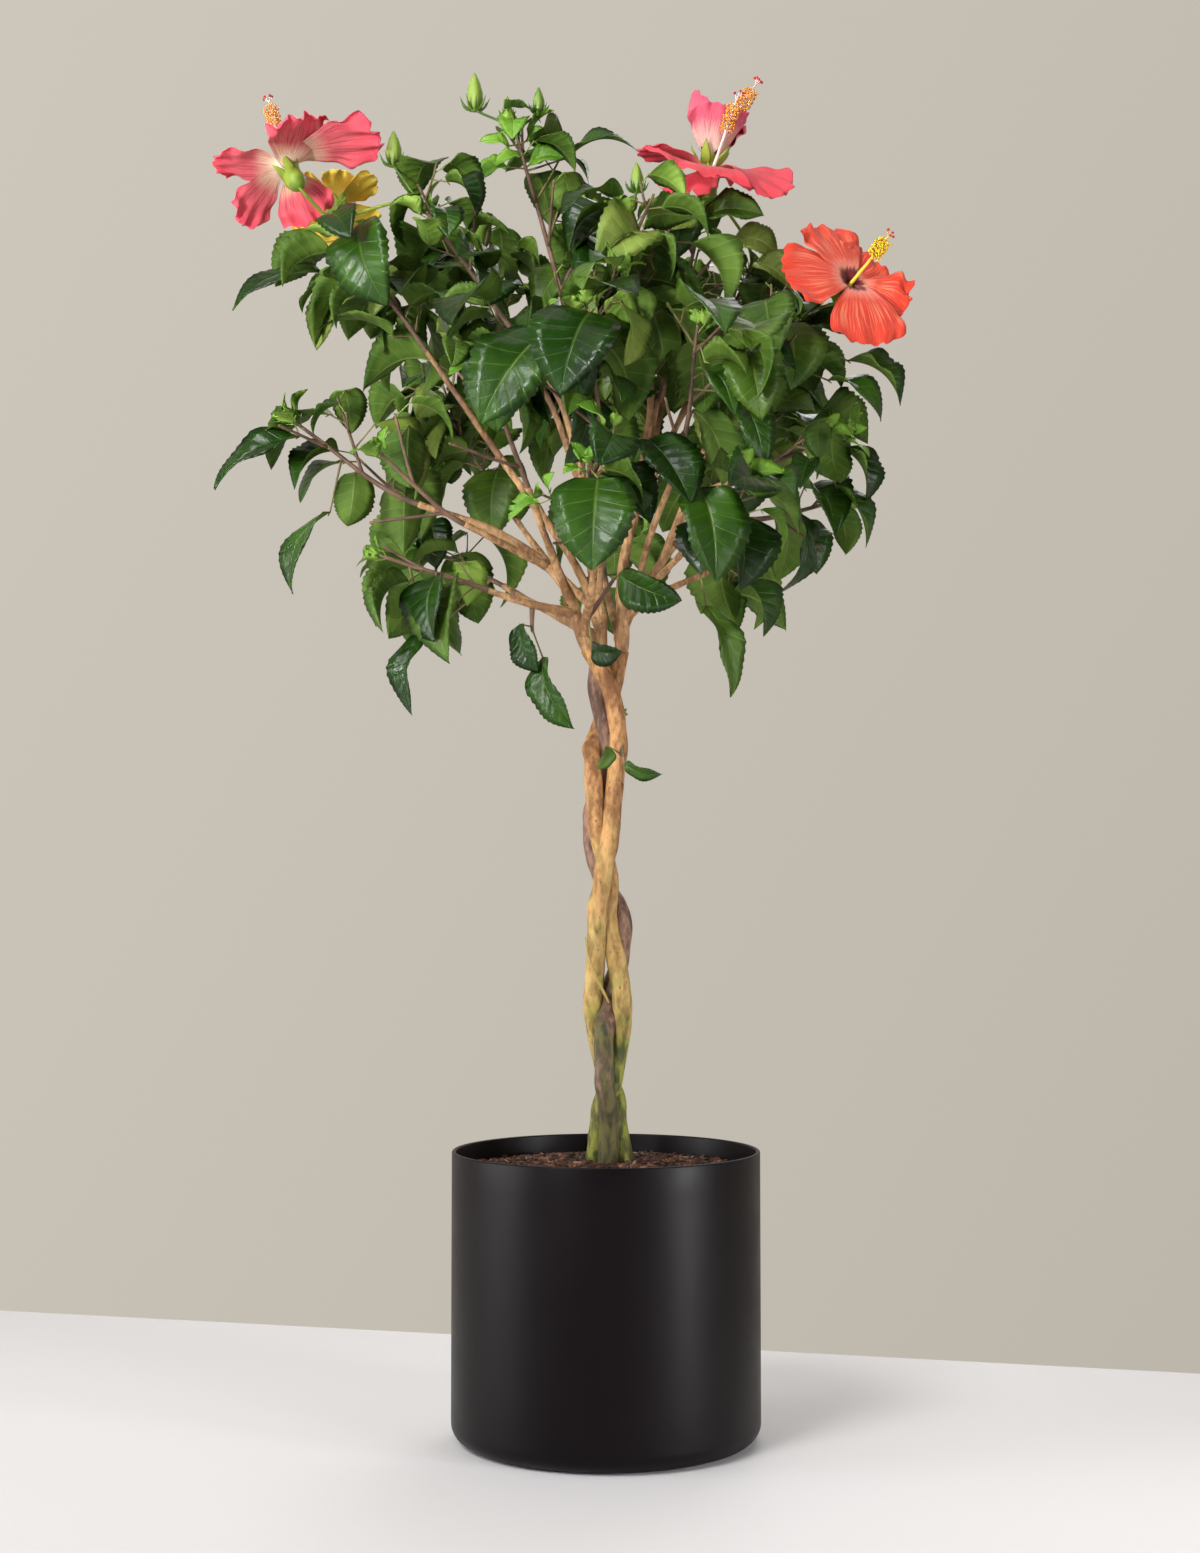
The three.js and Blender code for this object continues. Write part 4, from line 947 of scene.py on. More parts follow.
def lathe(shape, outline, sides, relief=None):
    """An outline of (radius, height) that starts and ends on the upright axis, turned about it."""
    outline = np.array(outline, float)
    radii, heights = outline[1:-1, :1], outline[1:-1, 1:]
    turns = circle(sides)
    rings = np.stack((radii * np.cos(turns), radii * np.sin(turns), np.repeat(heights, sides, 1)), -1)
    if relief:
        rings = rings + relief(rings)
    closed_skin(shape, rings, (0, 0, outline[0, 1]), (0, 0, outline[-1, 1]))


# Materials. Colours are written as they show on a screen, from 0 to 255.


def linear(colour):
    """The linear colour that a shader takes."""
    parts = [channel / 255 for channel in colour]
    return (*[part / 12.92 if part <= 0.04045 else ((part + 0.055) / 1.055) ** 2.4 for part in parts], 1)


class Nodes:
    """The nodes of a material or of the world."""

    def __init__(self, owner):
        owner.use_nodes = True
        self.tree = owner.node_tree

    def fill(self, socket, value):
        """Gives a socket a value, or the output that it takes."""
        if isinstance(value, bpy.types.NodeSocket):
            self.tree.links.new(value, socket)
        else:
            socket.default_value = linear(value) if socket.type == "RGBA" else value

    def node(self, kind, inputs=(), **settings):
        """A node with the given inputs, each a socket's name or number and what fills it."""
        made = self.tree.nodes.new(kind)
        for name, value in settings.items():
            setattr(made, name, value)
        for socket, value in dict(inputs).items():
            self.fill(made.inputs[socket], value)
        return made

    def math(self, operation, a, b=0.0):
        return self.node("ShaderNodeMath", {0: a, 1: b}, operation=operation).outputs[0]

    def times(self, a, b):
        return self.math("MULTIPLY", a, b)

    def plus(self, a, b):
        return self.math("ADD", a, b)

    def off(self, a, b):
        """How far one value is from another."""
        return self.math("ABSOLUTE", self.math("SUBTRACT", a, b))

    def span(self, value, low, high, start=0, end=1, how="SMOOTHSTEP"):
        """Start below low, end above high, and a step between."""
        inputs = {"Value": value, "From Min": low, "From Max": high, "To Min": start, "To Max": end}
        return self.node("ShaderNodeMapRange", inputs, interpolation_type=how).outputs["Result"]

    def mix(self, share, a, b):
        return self.node("ShaderNodeMix", {0: share, 6: a, 7: b}, data_type="RGBA").outputs[2]


class Look(Nodes):
    """A material, built up node by node round its one shader."""

    def __init__(self, name, **values):
        self.material = bpy.data.materials.new(name)
        super().__init__(self.material)
        self.shader = self.tree.nodes["Principled BSDF"]
        for socket, value in values.items():
            self.set(socket.replace("_", " "), value)

    def set(self, socket, value):
        self.fill(self.shader.inputs[socket], value)

    def place(self, kind="Object", stretch=(1, 1, 1)):
        place = self.node("ShaderNodeTexCoord").outputs[kind]
        return self.node("ShaderNodeMapping", {"Vector": place, "Scale": stretch}).outputs["Vector"]

    def surface(self):
        """The place on the surface: across and along, each from 0 to 1."""
        parts = self.node("ShaderNodeSeparateXYZ", {0: self.node("ShaderNodeTexCoord").outputs["UV"]})
        return parts.outputs["X"], parts.outputs["Y"]

    def noise(self, scale, detail, stretch=(1, 1, 1), kind="Object"):
        inputs = {"Vector": self.place(kind, stretch), "Scale": scale, "Detail": detail}
        return self.node("ShaderNodeTexNoise", inputs).outputs["Fac"]

    def cells(self, scale, stretch):
        """How far each place is from the middle of the nearest of many cells."""
        inputs = {"Vector": self.place("Object", stretch), "Scale": scale}
        return self.node("ShaderNodeTexVoronoi", inputs).outputs["Distance"]

    def ramp(self, value, *stops):
        """A colour that changes with a value, from stops of (place, red, green, blue)."""
        made = self.node("ShaderNodeValToRGB", {"Fac": value})
        elements = made.color_ramp.elements
        while len(elements) < len(stops):
            elements.new(0.5)
        for element, (place, *colour) in zip(elements, stops):
            element.position = place
            element.color = linear(colour)
        return made.outputs["Color"]

    def tones(self, value, ends, deep, bright):
        """Two colours that change over between two ends of a value."""
        return self.ramp(value, (ends[0], *deep), (ends[1], *bright))

    def relief(self, height, strength, distance):
        inputs = {"Height": height, "Strength": strength, "Distance": distance}
        self.set("Normal", self.node("ShaderNodeBump", inputs).outputs["Normal"])


# Plain mottled surfaces: their two colours, the scale and detail of the mottling, the strength of the relief
# and its depth in metres, and their roughness

PLAIN = dict(
    soil_bed=((30, 18, 13), (62, 38, 27), 60, 4, 0.8, 0.003, 0.92),
    chip_red=((74, 42, 28), (112, 66, 44), 90, 3, 0.6, 0.001, 0.85),
    chip_dark=((36, 22, 16), (62, 38, 27), 90, 3, 0.6, 0.001, 0.9),
    chip_pale=((118, 82, 58), (158, 116, 84), 90, 3, 0.6, 0.001, 0.8),
    splinter=((150, 124, 62), (186, 158, 90), 60, 3, 0.4, 0.0006, 0.75),
    sprout=((70, 112, 40), (104, 146, 58), 60, 2, 0.2, 0.0004, 0.5),
    twig_bark=((84, 62, 50), (124, 96, 76), 60, 3, 0.4, 0.0006, 0.7),
    twig_green=((92, 80, 50), (122, 112, 66), 60, 3, 0.3, 0.0004, 0.6),
    stalk_brown=((96, 84, 48), (132, 124, 70), 50, 2, 0.2, 0.0004, 0.55),
    stalk_green=((110, 130, 60), (146, 166, 82), 50, 2, 0.2, 0.0004, 0.55),
    calyx_green=((104, 132, 32), (154, 174, 58), 60, 3, 0.4, 0.0006, 0.5),
    bract_green=((60, 94, 26), (92, 126, 42), 40, 3, 0.3, 0.0004, 0.5),
    bud_green=((92, 128, 36), (140, 164, 60), 40, 3, 0.3, 0.0004, 0.5))
PLAIN_LOOK = Table(mottling=(0.35, 0.65), relief_scale=12, relief_detail=3)


def plain_look(name, deep, bright, scale, detail, strength, depth, roughness):
    look = Look(name, Roughness=roughness)
    look.set("Base Color", look.tones(look.noise(scale, detail), PLAIN_LOOK.mottling, deep, bright))
    fine = look.noise(scale * PLAIN_LOOK.relief_scale, PLAIN_LOOK.relief_detail)
    look.relief(fine, strength, depth)
    return look.material


def plain_looks(*names):
    return [plain_look(name, *PLAIN[name]) for name in names]


# In each table of a look, a noise is (scale, detail, stretch) and a span is (low, high, start, end).

LEAF_LOOK = Table(patches=(22, 3), patch_ends=(0.36, 0.64), rib=(0.008, 0.03, 0.5, 0),
                  vein=(0.42, 0.5, 0, 0.24), vein_phase=0.25, grain=(240, 3), strength=0.45, depth=0.001)


def leaf_look(name, deep, bright, vein, roughness, gloss=0.38, veins_stand=-2.5):
    """A side of a leaf: patches of two greens, with paler veins that are sunk or stand proud."""
    look = Look(name, Roughness=roughness, Specular_IOR_Level=gloss)
    green = look.tones(look.noise(*LEAF_LOOK.patches), LEAF_LOOK.patch_ends, deep, bright)
    across, along = look.surface()
    rib = look.span(look.off(across, 0.5), *LEAF_LOOK.rib)
    veins = look.times(along, FULL_BLADE["rows"] / FULL_BLADE["vein_every"])
    row = look.math("FRACT", look.math("SUBTRACT", veins, LEAF_LOOK.vein_phase))
    veined = look.math("MAXIMUM", rib, look.span(look.off(row, 0.5), *LEAF_LOOK.vein))
    look.set("Base Color", look.mix(veined, green, vein))
    height = look.plus(look.noise(*LEAF_LOOK.grain), look.times(veined, veins_stand))
    look.relief(height, LEAF_LOOK.strength, LEAF_LOOK.depth)
    return look.material


BARK_LOOK = Table(mottling=((46, 3, (1, 1, 0.4), 0.55), (230, 5, (1, 1, 0.45), 0.45)),
                  tone_ends=(0.43, 0.57), ragged=(60, 5, (1, 1, 0.5)), raggedness=0.5,
                  patches=(110, 4, (1, 1, 0.4)), patch_span=(0.38, 0.58, 0.84, 1),
                  streaks=(150, 4, (1, 1, 0.35)), streak_ends=(0.42, 0.58), pores=(200, (1, 1, 0.6)),
                  pore_span=(0.1, 0.2, 0.7, 0), pored=(90, 2), pored_span=(0.46, 0.54), pore_depth=-0.7,
                  grain=(260, 4, (1, 1, 0.3)), strength=0.9, depth=0.002)


def bark_look(name, deep, bright, speck, tints):
    """Bark of two mottled tones with dark pores. A tint is two more tones that come in raggedly between two
    heights in metres: (low, high, their share below, their share above, the tones)."""
    look, table = Look(name, Roughness=0.72), BARK_LOOK
    coarse, fine = (look.times(look.noise(*noise), share) for *noise, share in table.mottling)
    tone = look.tones(look.plus(coarse, fine), table.tone_ends, deep, bright)
    height = look.node("ShaderNodeSeparateXYZ", {0: look.place()}).outputs["Z"]
    ragged = look.plus(height, look.times(look.noise(*table.ragged), table.raggedness))
    patchy = look.span(look.noise(*table.patches), *table.patch_span)
    streaks = look.noise(*table.streaks)
    mean = table.raggedness / 2
    for low, high, below, above, tones in tints:
        share = look.times(look.span(ragged, low + mean, high + mean, below, above), patchy)
        tone = look.mix(share, tone, look.tones(streaks, table.streak_ends, *tones))
    pores = look.span(look.cells(*table.pores), *table.pore_span)
    pores = look.times(pores, look.span(look.noise(*table.pored), *table.pored_span))
    look.set("Base Color", look.mix(pores, tone, speck))
    height = look.plus(look.noise(*table.grain), look.times(pores, table.pore_depth))
    look.relief(height, table.strength, table.depth)
    return look.material


PETAL_LOOK = Table(ragged=(9, 2, (1.4, 0.2, 1)), raggedness=0.24, fan=(5, 4, (13, 0.45, 1)),
                   fan_span=(0.5, 0.58), from_throat=(0.26, 0.36, 0), to_edge=(0.6, 1, 1, 0.15),
                   folds=(7, 4, (22, 1.4, 1)), strength=0.6, depth=0.0018)


def petal_look(name, vein, streaks, stops):
    """A petal: colours from its throat to its edge, ragged between them, and veins that fan out."""
    look, table = Look(name, Roughness=0.6, Sheen_Weight=0.15, Sheen_Roughness=0.4, Subsurface_Weight=0.08,
                       Subsurface_Scale=0.004), PETAL_LOOK
    along = look.surface()[1]
    ragged = look.plus(along, look.times(look.noise(*table.ragged, "UV"), table.raggedness))
    fan = look.span(look.noise(*table.fan, "UV"), *table.fan_span)
    streak = look.times(fan, look.span(along, *table.from_throat, streaks))
    streak = look.times(streak, look.span(along, *table.to_edge))
    colour = look.ramp(look.math("SUBTRACT", ragged, table.raggedness / 2), *stops)
    look.set("Base Color", look.mix(streak, colour, vein))
    look.relief(look.noise(*table.folds, "UV"), table.strength, table.depth)
    return look.material


# The pot, and its fill of bark chips

POT_MESH = Table(sides=120, rim=1.6, under=(60, 120), outside=(60, 110, 160, 210, 250), inside=(200, 100),
                 corner_steps=10, rim_steps=4)
POT_LOOK = Table(cloud=(9, 3), cloud_ends=(0.3, 0.7), deep=(9, 4, 6), bright=(13, 7, 9), smears=(26, 4),
                 roughness=(0.3, 0.7, 0.38, 0.43), grain=(900, 2), strength=0.1, depth=0.0002)


def arc(centre_x, centre_y, radius, start, end, steps):
    """Points of an arc about a centre, with angles in degrees."""
    angles = np.radians(np.linspace(start, end, steps + 1))
    return [(centre_x + radius * math.cos(a), centre_y + radius * math.sin(a)) for a in angles]


def make_pot():
    radius, corner, floor, rim = POT.radius, POT.corner, POT.floor, POT_MESH.rim
    inner, top = radius - POT.wall, POT.height - rim
    outline = [(0, 0), *[(ring, 0) for ring in POT_MESH.under]]
    outline += arc(radius - corner, corner, corner, -90, 0, POT_MESH.corner_steps)
    outline += [(radius, height) for height in POT_MESH.outside]
    outline += arc(radius - rim, top, rim, 0, 90, POT_MESH.rim_steps)
    outline += arc(inner + rim, top, rim, 90, 180, POT_MESH.rim_steps)
    outline += [(inner, height) for height in (*POT_MESH.inside, corner)]
    outline += [(radius - corner, floor), (0, floor)]
    shape = Shape()
    lathe(shape, outline, POT_MESH.sides)
    look = Look("satin_black", Roughness=0.42, Specular_IOR_Level=0.13)
    cloud = look.noise(*POT_LOOK.cloud)
    look.set("Base Color", look.tones(cloud, POT_LOOK.cloud_ends, POT_LOOK.deep, POT_LOOK.bright))
    look.set("Roughness", look.span(look.noise(*POT_LOOK.smears), *POT_LOOK.roughness))
    look.relief(look.noise(*POT_LOOK.grain), POT_LOOK.strength, POT_LOOK.depth)
    make_piece("planter", shape, [look.material], ["pot"])


def soil_height(radius):
    """The height of the fill at a distance from the axis."""
    return np.interp(radius, (0, SOIL.flat_radius, SOIL.shoulder_radius, POT.radius - POT.wall),
                     (SOIL.crown, SOIL.crown, SOIL.shoulder, SOIL.edge))


BED = Table(sides=144, rings=34, middle_ring=6, edge_inset=3, sunk=1, waist=150, fades=4, rise=1.3,
            lumps=((9, 3, 1), (4, 4, 0.6)))


def bed_relief(rings):
    near_top = smooth(SOIL.edge - BED.fades, SOIL.edge, rings[..., 2])
    rise = sum(share * lumps(rings, size, seed) for size, seed, share in BED.lumps) * BED.rise * near_top
    return rise[..., None] * UP


def make_soil():
    """The bed that the chips lie on."""
    edge, floor = POT.radius - POT.wall - GAP, POT.floor + GAP
    outline = [(0, floor), (POT.radius - POT.corner - GAP, floor), (edge, POT.corner + GAP),
               (edge, BED.waist), (edge, SOIL.edge - BED.edge_inset)]
    outline += [(radius, float(soil_height(radius)) - BED.sunk)
                for radius in np.linspace(edge - BED.edge_inset, BED.middle_ring, BED.rings)]
    outline.append((0, SOIL.crown - BED.sunk))
    shape = Shape()
    lathe(shape, outline, BED.sides, bed_relief)
    make_piece("soil_bed", shape, plain_looks("soil_bed"), ["soil"])


CHIPS = Table(count=4200, seed=41, shortest=4, longest=15, slender=0.12, stout=0.4, widest=4.5, thinnest=0.8,
              thickest=2.2, nearest=0.004, pitch=0.22, lean=0.3, rise=3, bend=0.12, clear=2.5,
              ends=(0.35, 0.95), kinds=(0.4, 0.5, 0.1), middle=0.05)
CHIP_CORNERS = ((-1, -1), (1, -1), (1, 1), (-1, 1))
CHIP_ENDS = np.array(((0, 3, 2, 1), (8, 9, 10, 11)))


def make_chips():
    """Bent slivers of bark that lie flat on the fill, some leaning on others."""
    draw = np.random.default_rng(CHIPS.seed)
    shape = Shape()
    reach = POT.radius - POT.wall - CHIPS.clear
    for _ in range(CHIPS.count):
        radius = reach * math.sqrt(draw.uniform(CHIPS.nearest, 1))
        turn_about = draw.uniform(0, math.tau)
        length = lerp(CHIPS.shortest, CHIPS.longest, draw.uniform() ** 2)
        half = min(length * draw.uniform(CHIPS.slender, CHIPS.stout), CHIPS.widest) / 2
        thick = draw.uniform(CHIPS.thinnest, CHIPS.thickest) / 2
        pitch = draw.normal(0, CHIPS.pitch)
        turn = draw.uniform(0, math.tau)
        level = vec((math.cos(turn), math.sin(turn), 0))
        axis = swung(level, UP, pitch)
        side = unit(np.cross(UP, axis) + UP * draw.normal(0, CHIPS.lean))
        face = np.cross(axis, side)
        centre = vec((radius * math.cos(turn_about), radius * math.sin(turn_about),
                      soil_height(radius) + draw.uniform(0, CHIPS.rise)))
        if any(np.linalg.norm((centre + level * length * end)[:2]) > reach for end in (0.5, -0.5)):
            continue
        bend = draw.uniform(-CHIPS.bend, CHIPS.bend) * length
        points = []
        for at in (-0.5, CHIPS.middle, 0.5):
            width = half * (1 if at == CHIPS.middle else draw.uniform(*CHIPS.ends))
            middle = centre + axis * length * at + face * bend * (0.25 - at * at)
            points += [middle + side * width * a + face * thick * b for a, b in CHIP_CORNERS]
        look = draw.choice(3, p=CHIPS.kinds)
        shape.add(np.array(points), ((grid_faces(3, 4, True), look), (CHIP_ENDS, look)))
    make_piece("bark_chips", shape, plain_looks("chip_red", "chip_dark", "chip_pale"))


# Bark: the plaited stems and the boughs. A relief is (stretch, size of its lumps, height), and the soft one
# isn't stretched.

RELIEF = Table(soft=(15, 0.35), grain=((1, 1, 0.25), 3.2, 0.16), scars=((0.3, 0.3, 1), 17, 1.6),
               scar_level=0.75)


def bark_relief(seed, size, rough):
    """How far bark stands proud of its limb: soft lumps, fine grain along the limb and raised leaf scars."""
    lump, soft = RELIEF.soft
    grain_stretch, fine, grain = RELIEF.grain
    scar_stretch, apart, scar = RELIEF.scars

    def relief(rings, _):
        scars = np.clip(lumps(rings * vec(scar_stretch), apart, seed + 2) - RELIEF.scar_level, 0, 1)
        return (lumps(rings, lump, seed) * soft * size
                + lumps(rings * vec(grain_stretch), fine, seed + 1) * grain * rough + scars * scar * size)

    return relief


OLIVE = (142, 122, 60), (190, 168, 98)
MOSS = (54, 66, 12), (124, 130, 40)
DARK_MOSS = (44, 46, 14), (86, 82, 34)
BROWN = (84, 56, 44), (112, 80, 60)
BARK = dict(
    bark_tan=((128, 84, 46), (196, 146, 92), (84, 50, 28),
              ((0.44, 0.66, 0.62, 0, OLIVE), (0.32, 0.46, 1, 0, MOSS))),
    bark_grey=((84, 58, 46), (142, 108, 88), (58, 40, 32), ((0.33, 0.46, 1, 0, DARK_MOSS),)),
    bark_young=((132, 94, 60), (192, 150, 104), (84, 56, 38), ((0.9, 1.06, 0, 0.8, BROWN),)))
STEM_MESH = Table(finer=6, sides=22, seed=60, swell=1.3, squeeze=0.11,
                  squeeze_fades=(700, FORK_HEIGHT))
BOUGH_MESH = Table(step=4, sides=(11, 14), seed=80, sunk=3, collar=0.35, collar_length=2.2)

# Small marks on the stems: a loose splinter of bark, the stub of a cut twig, and a green sprout with the
# ways that its leaves point

SPLINTER = dict(places=((-20, -13, 484), (-16, -17, 460), (-5, -17, 436), (3, -11, 420)), steps=12,
                radii=(0.5, 1.5, 1.7, 0.9), sides=6, flat=0.45)
STUB = dict(places=((4, -2, 426), (5, -6, 434), (6, -9, 446)), steps=4, radii=(3.4, 3, 2.2), sides=9)
SPROUT = Table(root=(13, -6, 703), length=9, leaves=((0.9, 0, 0.5), (0.6, -0.4, 0.9), (1, 0.2, -0.1)),
               radii=(0.6, 0.7, 1.6, 2.4, 2.2, 1.3, 0.2), sides=6, flat=0.4)


def bark_look_of(name):
    return bark_look(name, *BARK[name])


def make_stems(limbs):
    shape = Shape()
    names = ("stem_1", "stem_2", "stem_3")
    for i, name in enumerate(names):
        fine = smooth_line(limbs[name]["line"], STEM.levels * STEM_MESH.finer)
        fine[:, :2] *= 1 - STEM_MESH.squeeze * (1 - smooth(*STEM_MESH.squeeze_fades, fine[:, 2:]))
        tube(shape, fine, limbs[name]["radii"] + STEM_MESH.swell, STEM_MESH.sides, i % 2,
             hint=vec((1, 0, 0)), relief=bark_relief(STEM_MESH.seed + i, 1, 1))
    for mark, look in ((SPLINTER, 2), (STUB, 1)):
        tube(shape, smooth_line(mark["places"], mark["steps"]), mark["radii"], mark["sides"], look,
             mark.get("flat", 1))
    root = vec(SPROUT.root)
    for way in SPROUT.leaves:
        run = unit(vec(way)) * SPROUT.length
        line = smooth_line([root, root + run * 0.5, root + run], len(SPROUT.radii) - 1)
        tube(shape, line, SPROUT.radii, SPROUT.sides, 3, SPROUT.flat)
    looks = [bark_look_of("bark_tan"), bark_look_of("bark_grey"), *plain_looks("splinter", "sprout")]
    make_piece("plaited_stems", shape, looks, names)


LEAST_STEPS = 3


def fine_line(carrier, spacing):
    """The smooth line through the places of a bough or twig, in steps of about a given length."""
    places = carrier["places"]
    steps = int(step_lengths(vec(places)).sum() / spacing)
    return smooth_line(places, max(steps, LEAST_STEPS), carrier["lead"])


def make_boughs(limbs):
    shape = Shape()
    rows = [row for row in BRANCHES if row["tip"]]
    for i, row in enumerate(rows):
        limb = limbs[row["name"]]
        first, fine = limb["first"], fine_line(limb, BOUGH_MESH.step)
        radii = bough_radii(first, len(fine))
        if limb["on_top"]:
            fine = np.vstack((fine[0] - limb["lead"] * BOUGH_MESH.sunk, fine))
            radii = np.concatenate((radii[:1], radii))
        else:
            walked = np.concatenate(((0,), np.cumsum(step_lengths(fine))))
            collar = np.exp(-(walked / (BOUGH_MESH.collar_length * first)) ** 2)
            radii = radii * (1 + BOUGH_MESH.collar * collar)
        thin = radii[0] / STEM.radius
        tube(shape, fine, radii, BOUGH_MESH.sides[limb["on_top"]],
             relief=bark_relief(BOUGH_MESH.seed + i, thin, thin))
    nodes = [f"bough_{row['name']}" for row in rows]
    make_piece("boughs", shape, [bark_look_of("bark_young")], nodes)


# Twigs and the stalks of leaves. Each kind of twig has its radius at either end.

TWIG_RADII = dict(shoot=(2.9, 1.7), twig=(1.9, 1.3), spur=(1.4, 1.0), stalk=(1.3, 1.0))
TWIG_MESH = Table(step=7, wobble=0.5, wobble_size=40, seeds=(7, 8, 9), sunk=2, sides=(6, 8), tip_swell=1.15,
                  tip_length=2)
STALK = Table(radii=(1.35, 0.95, 0.85, 0.85, 0.9, 1.0, 0.5), thinnest=0.45, sides=5, ahead=5, below=0.7,
              green=0.7)


def make_twigs(masses):
    shape = Shape()
    for twig in (twig for mass in masses for twig in mass["twigs"]):
        kind, fine = twig["kind"], fine_line(twig, TWIG_MESH.step)
        wobble = np.stack([lumps(fine, TWIG_MESH.wobble_size, seed) for seed in TWIG_MESH.seeds], -1)
        swell = np.sin(np.linspace(0, math.pi, len(fine)))[:, None]
        line = fine + wobble * TWIG_MESH.wobble * swell
        if kind == "shoot" and twig["lead"] is not None:
            line = np.vstack((fine[0] - twig["lead"] * TWIG_MESH.sunk, line))
        twig["fine"] = line
        end = TWIG_RADII[kind][1]
        look = int(kind in ("spur", "stalk"))
        tube(shape, line, TWIG_RADII[kind], TWIG_MESH.sides[kind == "shoot"], look)
        ball(shape, line[-1], end * TWIG_MESH.tip_swell, 1,
             direction_at(line, len(line) - 1) * end * TWIG_MESH.tip_length)
    make_piece("twigs", shape, plain_looks("twig_bark", "twig_green"),
               [f"foliage_{mass['name']}" for mass in masses])


def root_leaves(masses, limbs):
    """Takes every leaf's stalk to the nearest point of the smooth twig or bough that it springs from."""
    for row, mass in zip(BRANCHES, masses):
        lines = [twig["fine"] for twig in mass["twigs"]]
        if row["tip"]:
            lines.append(fine_line(limbs[row["name"]], BOUGH_MESH.step))
        for leaf in mass["leaves"]:
            near = [nearest_on(line, leaf["node"]) for line in lines]
            leaf["root"] = min(near, key=lambda place: ((place - leaf["node"]) ** 2).sum())


def make_stalks(leaves):
    shape = Shape()
    for leaf in leaves:
        line = smooth_line([leaf["root"], leaf["neck"]], len(STALK.radii) - 2, leaf["petiole"])
        line = np.vstack((line, leaf["neck"] + leaf["axis"] * STALK.ahead - leaf["normal"] * STALK.below))
        thick = lerp(STALK.thinnest, 1, min(leaf["share"], 1))
        tube(shape, line, vec(STALK.radii) * thick, STALK.sides, int(leaf["share"] < STALK.green))
    make_piece("leaf_stalks", shape, plain_looks("stalk_brown", "stalk_green"))


# Leaves: a blade of chevron rows, with a toothed edge, a sunken midrib and quilting between its side veins

BLADE = Table(sweep=0.2, tooth=0.055, tooth_gap=0.6, tooth_step=0.012, quilt=0.9, quilt_level=0.6,
              quilt_depth=1.6, bulge=0.8, groove=0.8, under=0.45, rib=1.1, usual_length=80, wave=0.06,
              wave_eases=0.6, turns=(1, 2.2), twist=0.5, twist_from=0.3, curl=0.1, arch=(0.08, 0.2),
              fullness=1.12, roundness=3.3, taper=0.05, roll=0.5, folded=0.55)
FULL_BLADE = dict(rows=28, first_tooth=7, vein_every=4,
                  columns=(-1, -0.62, -0.3, -0.07, 0, 0.07, 0.3, 0.62, 1),
                  under_columns=(-1, -0.62, -0.3, 0, 0.3, 0.62, 1))
SMALL_BLADE = dict(rows=10, first_tooth=3, vein_every=2, columns=(-1, -0.5, 0, 0.5, 1),
                   under_columns=(-1, 0, 1))


def blade_width(u):
    """Half the blade's width at a share of its length: round at the base and broad to near the tip."""
    widest = LEAF.widest
    if u < widest:
        return math.sqrt(max(1 - ((widest - u) / widest) ** 2, 0))
    beyond = min((u - widest) / (1 - widest), 1)
    return (1 - beyond ** BLADE.roundness) * (1 - BLADE.taper * beyond)


def blade_point(t, row, side, under, toothed, vein_every):
    """A point of the blade: its share of the length and of half the width, its lift, side and row."""
    edge = t + BLADE.sweep * math.sin(math.pi * t)
    stretch = 1.0
    if toothed:
        stretch += BLADE.tooth * (1 if row % 2 else -BLADE.tooth_gap)
        edge += BLADE.tooth_step if row % 2 else 0
    width = blade_width(edge)
    bulge = math.sin(math.pi * abs(side) ** BLADE.bulge) * width
    between = BLADE.quilt_level - BLADE.quilt_depth * math.cos(math.pi * (row - 1) / vein_every) ** 2
    lift = BLADE.quilt * bulge * between
    if side == 0:
        lift -= BLADE.groove * math.sqrt(width)
    if under:
        lift -= BLADE.rib * width if side == 0 else BLADE.under
    return t + abs(side) * (edge - t), side * width * stretch, lift, side, t


def blade_template(rows, first_tooth, vein_every, columns, under_columns):
    """The blade's points, and its blocks of three-cornered and four-cornered faces with their side."""
    table, index = [], {}

    def place(row, side, under):
        if row in (0, rows):
            side, under = 0, False
        under = under and abs(side) < 1
        key = (row, side, under)
        if key not in index:
            index[key] = len(table)
            table.append(blade_point(row / rows, row, side, under, first_tooth <= row < rows, vein_every))
        return index[key]

    faces, looks = {3: [], 4: []}, {3: [], 4: []}
    for under, sides in ((False, columns), (True, under_columns)):
        for row in range(rows):
            for left, right in zip(sides, sides[1:]):
                corners = list(dict.fromkeys((place(row, left, under), place(row, right, under),
                                              place(row + 1, right, under), place(row + 1, left, under))))
                if under:
                    corners = corners[2::-1] + corners[3:]
                if len(corners) > 2:
                    faces[len(corners)].append(corners)
                    looks[len(corners)].append(int(under))
    return np.array(table), [(np.array(faces[count]), np.array(looks[count])) for count in (3, 4)]


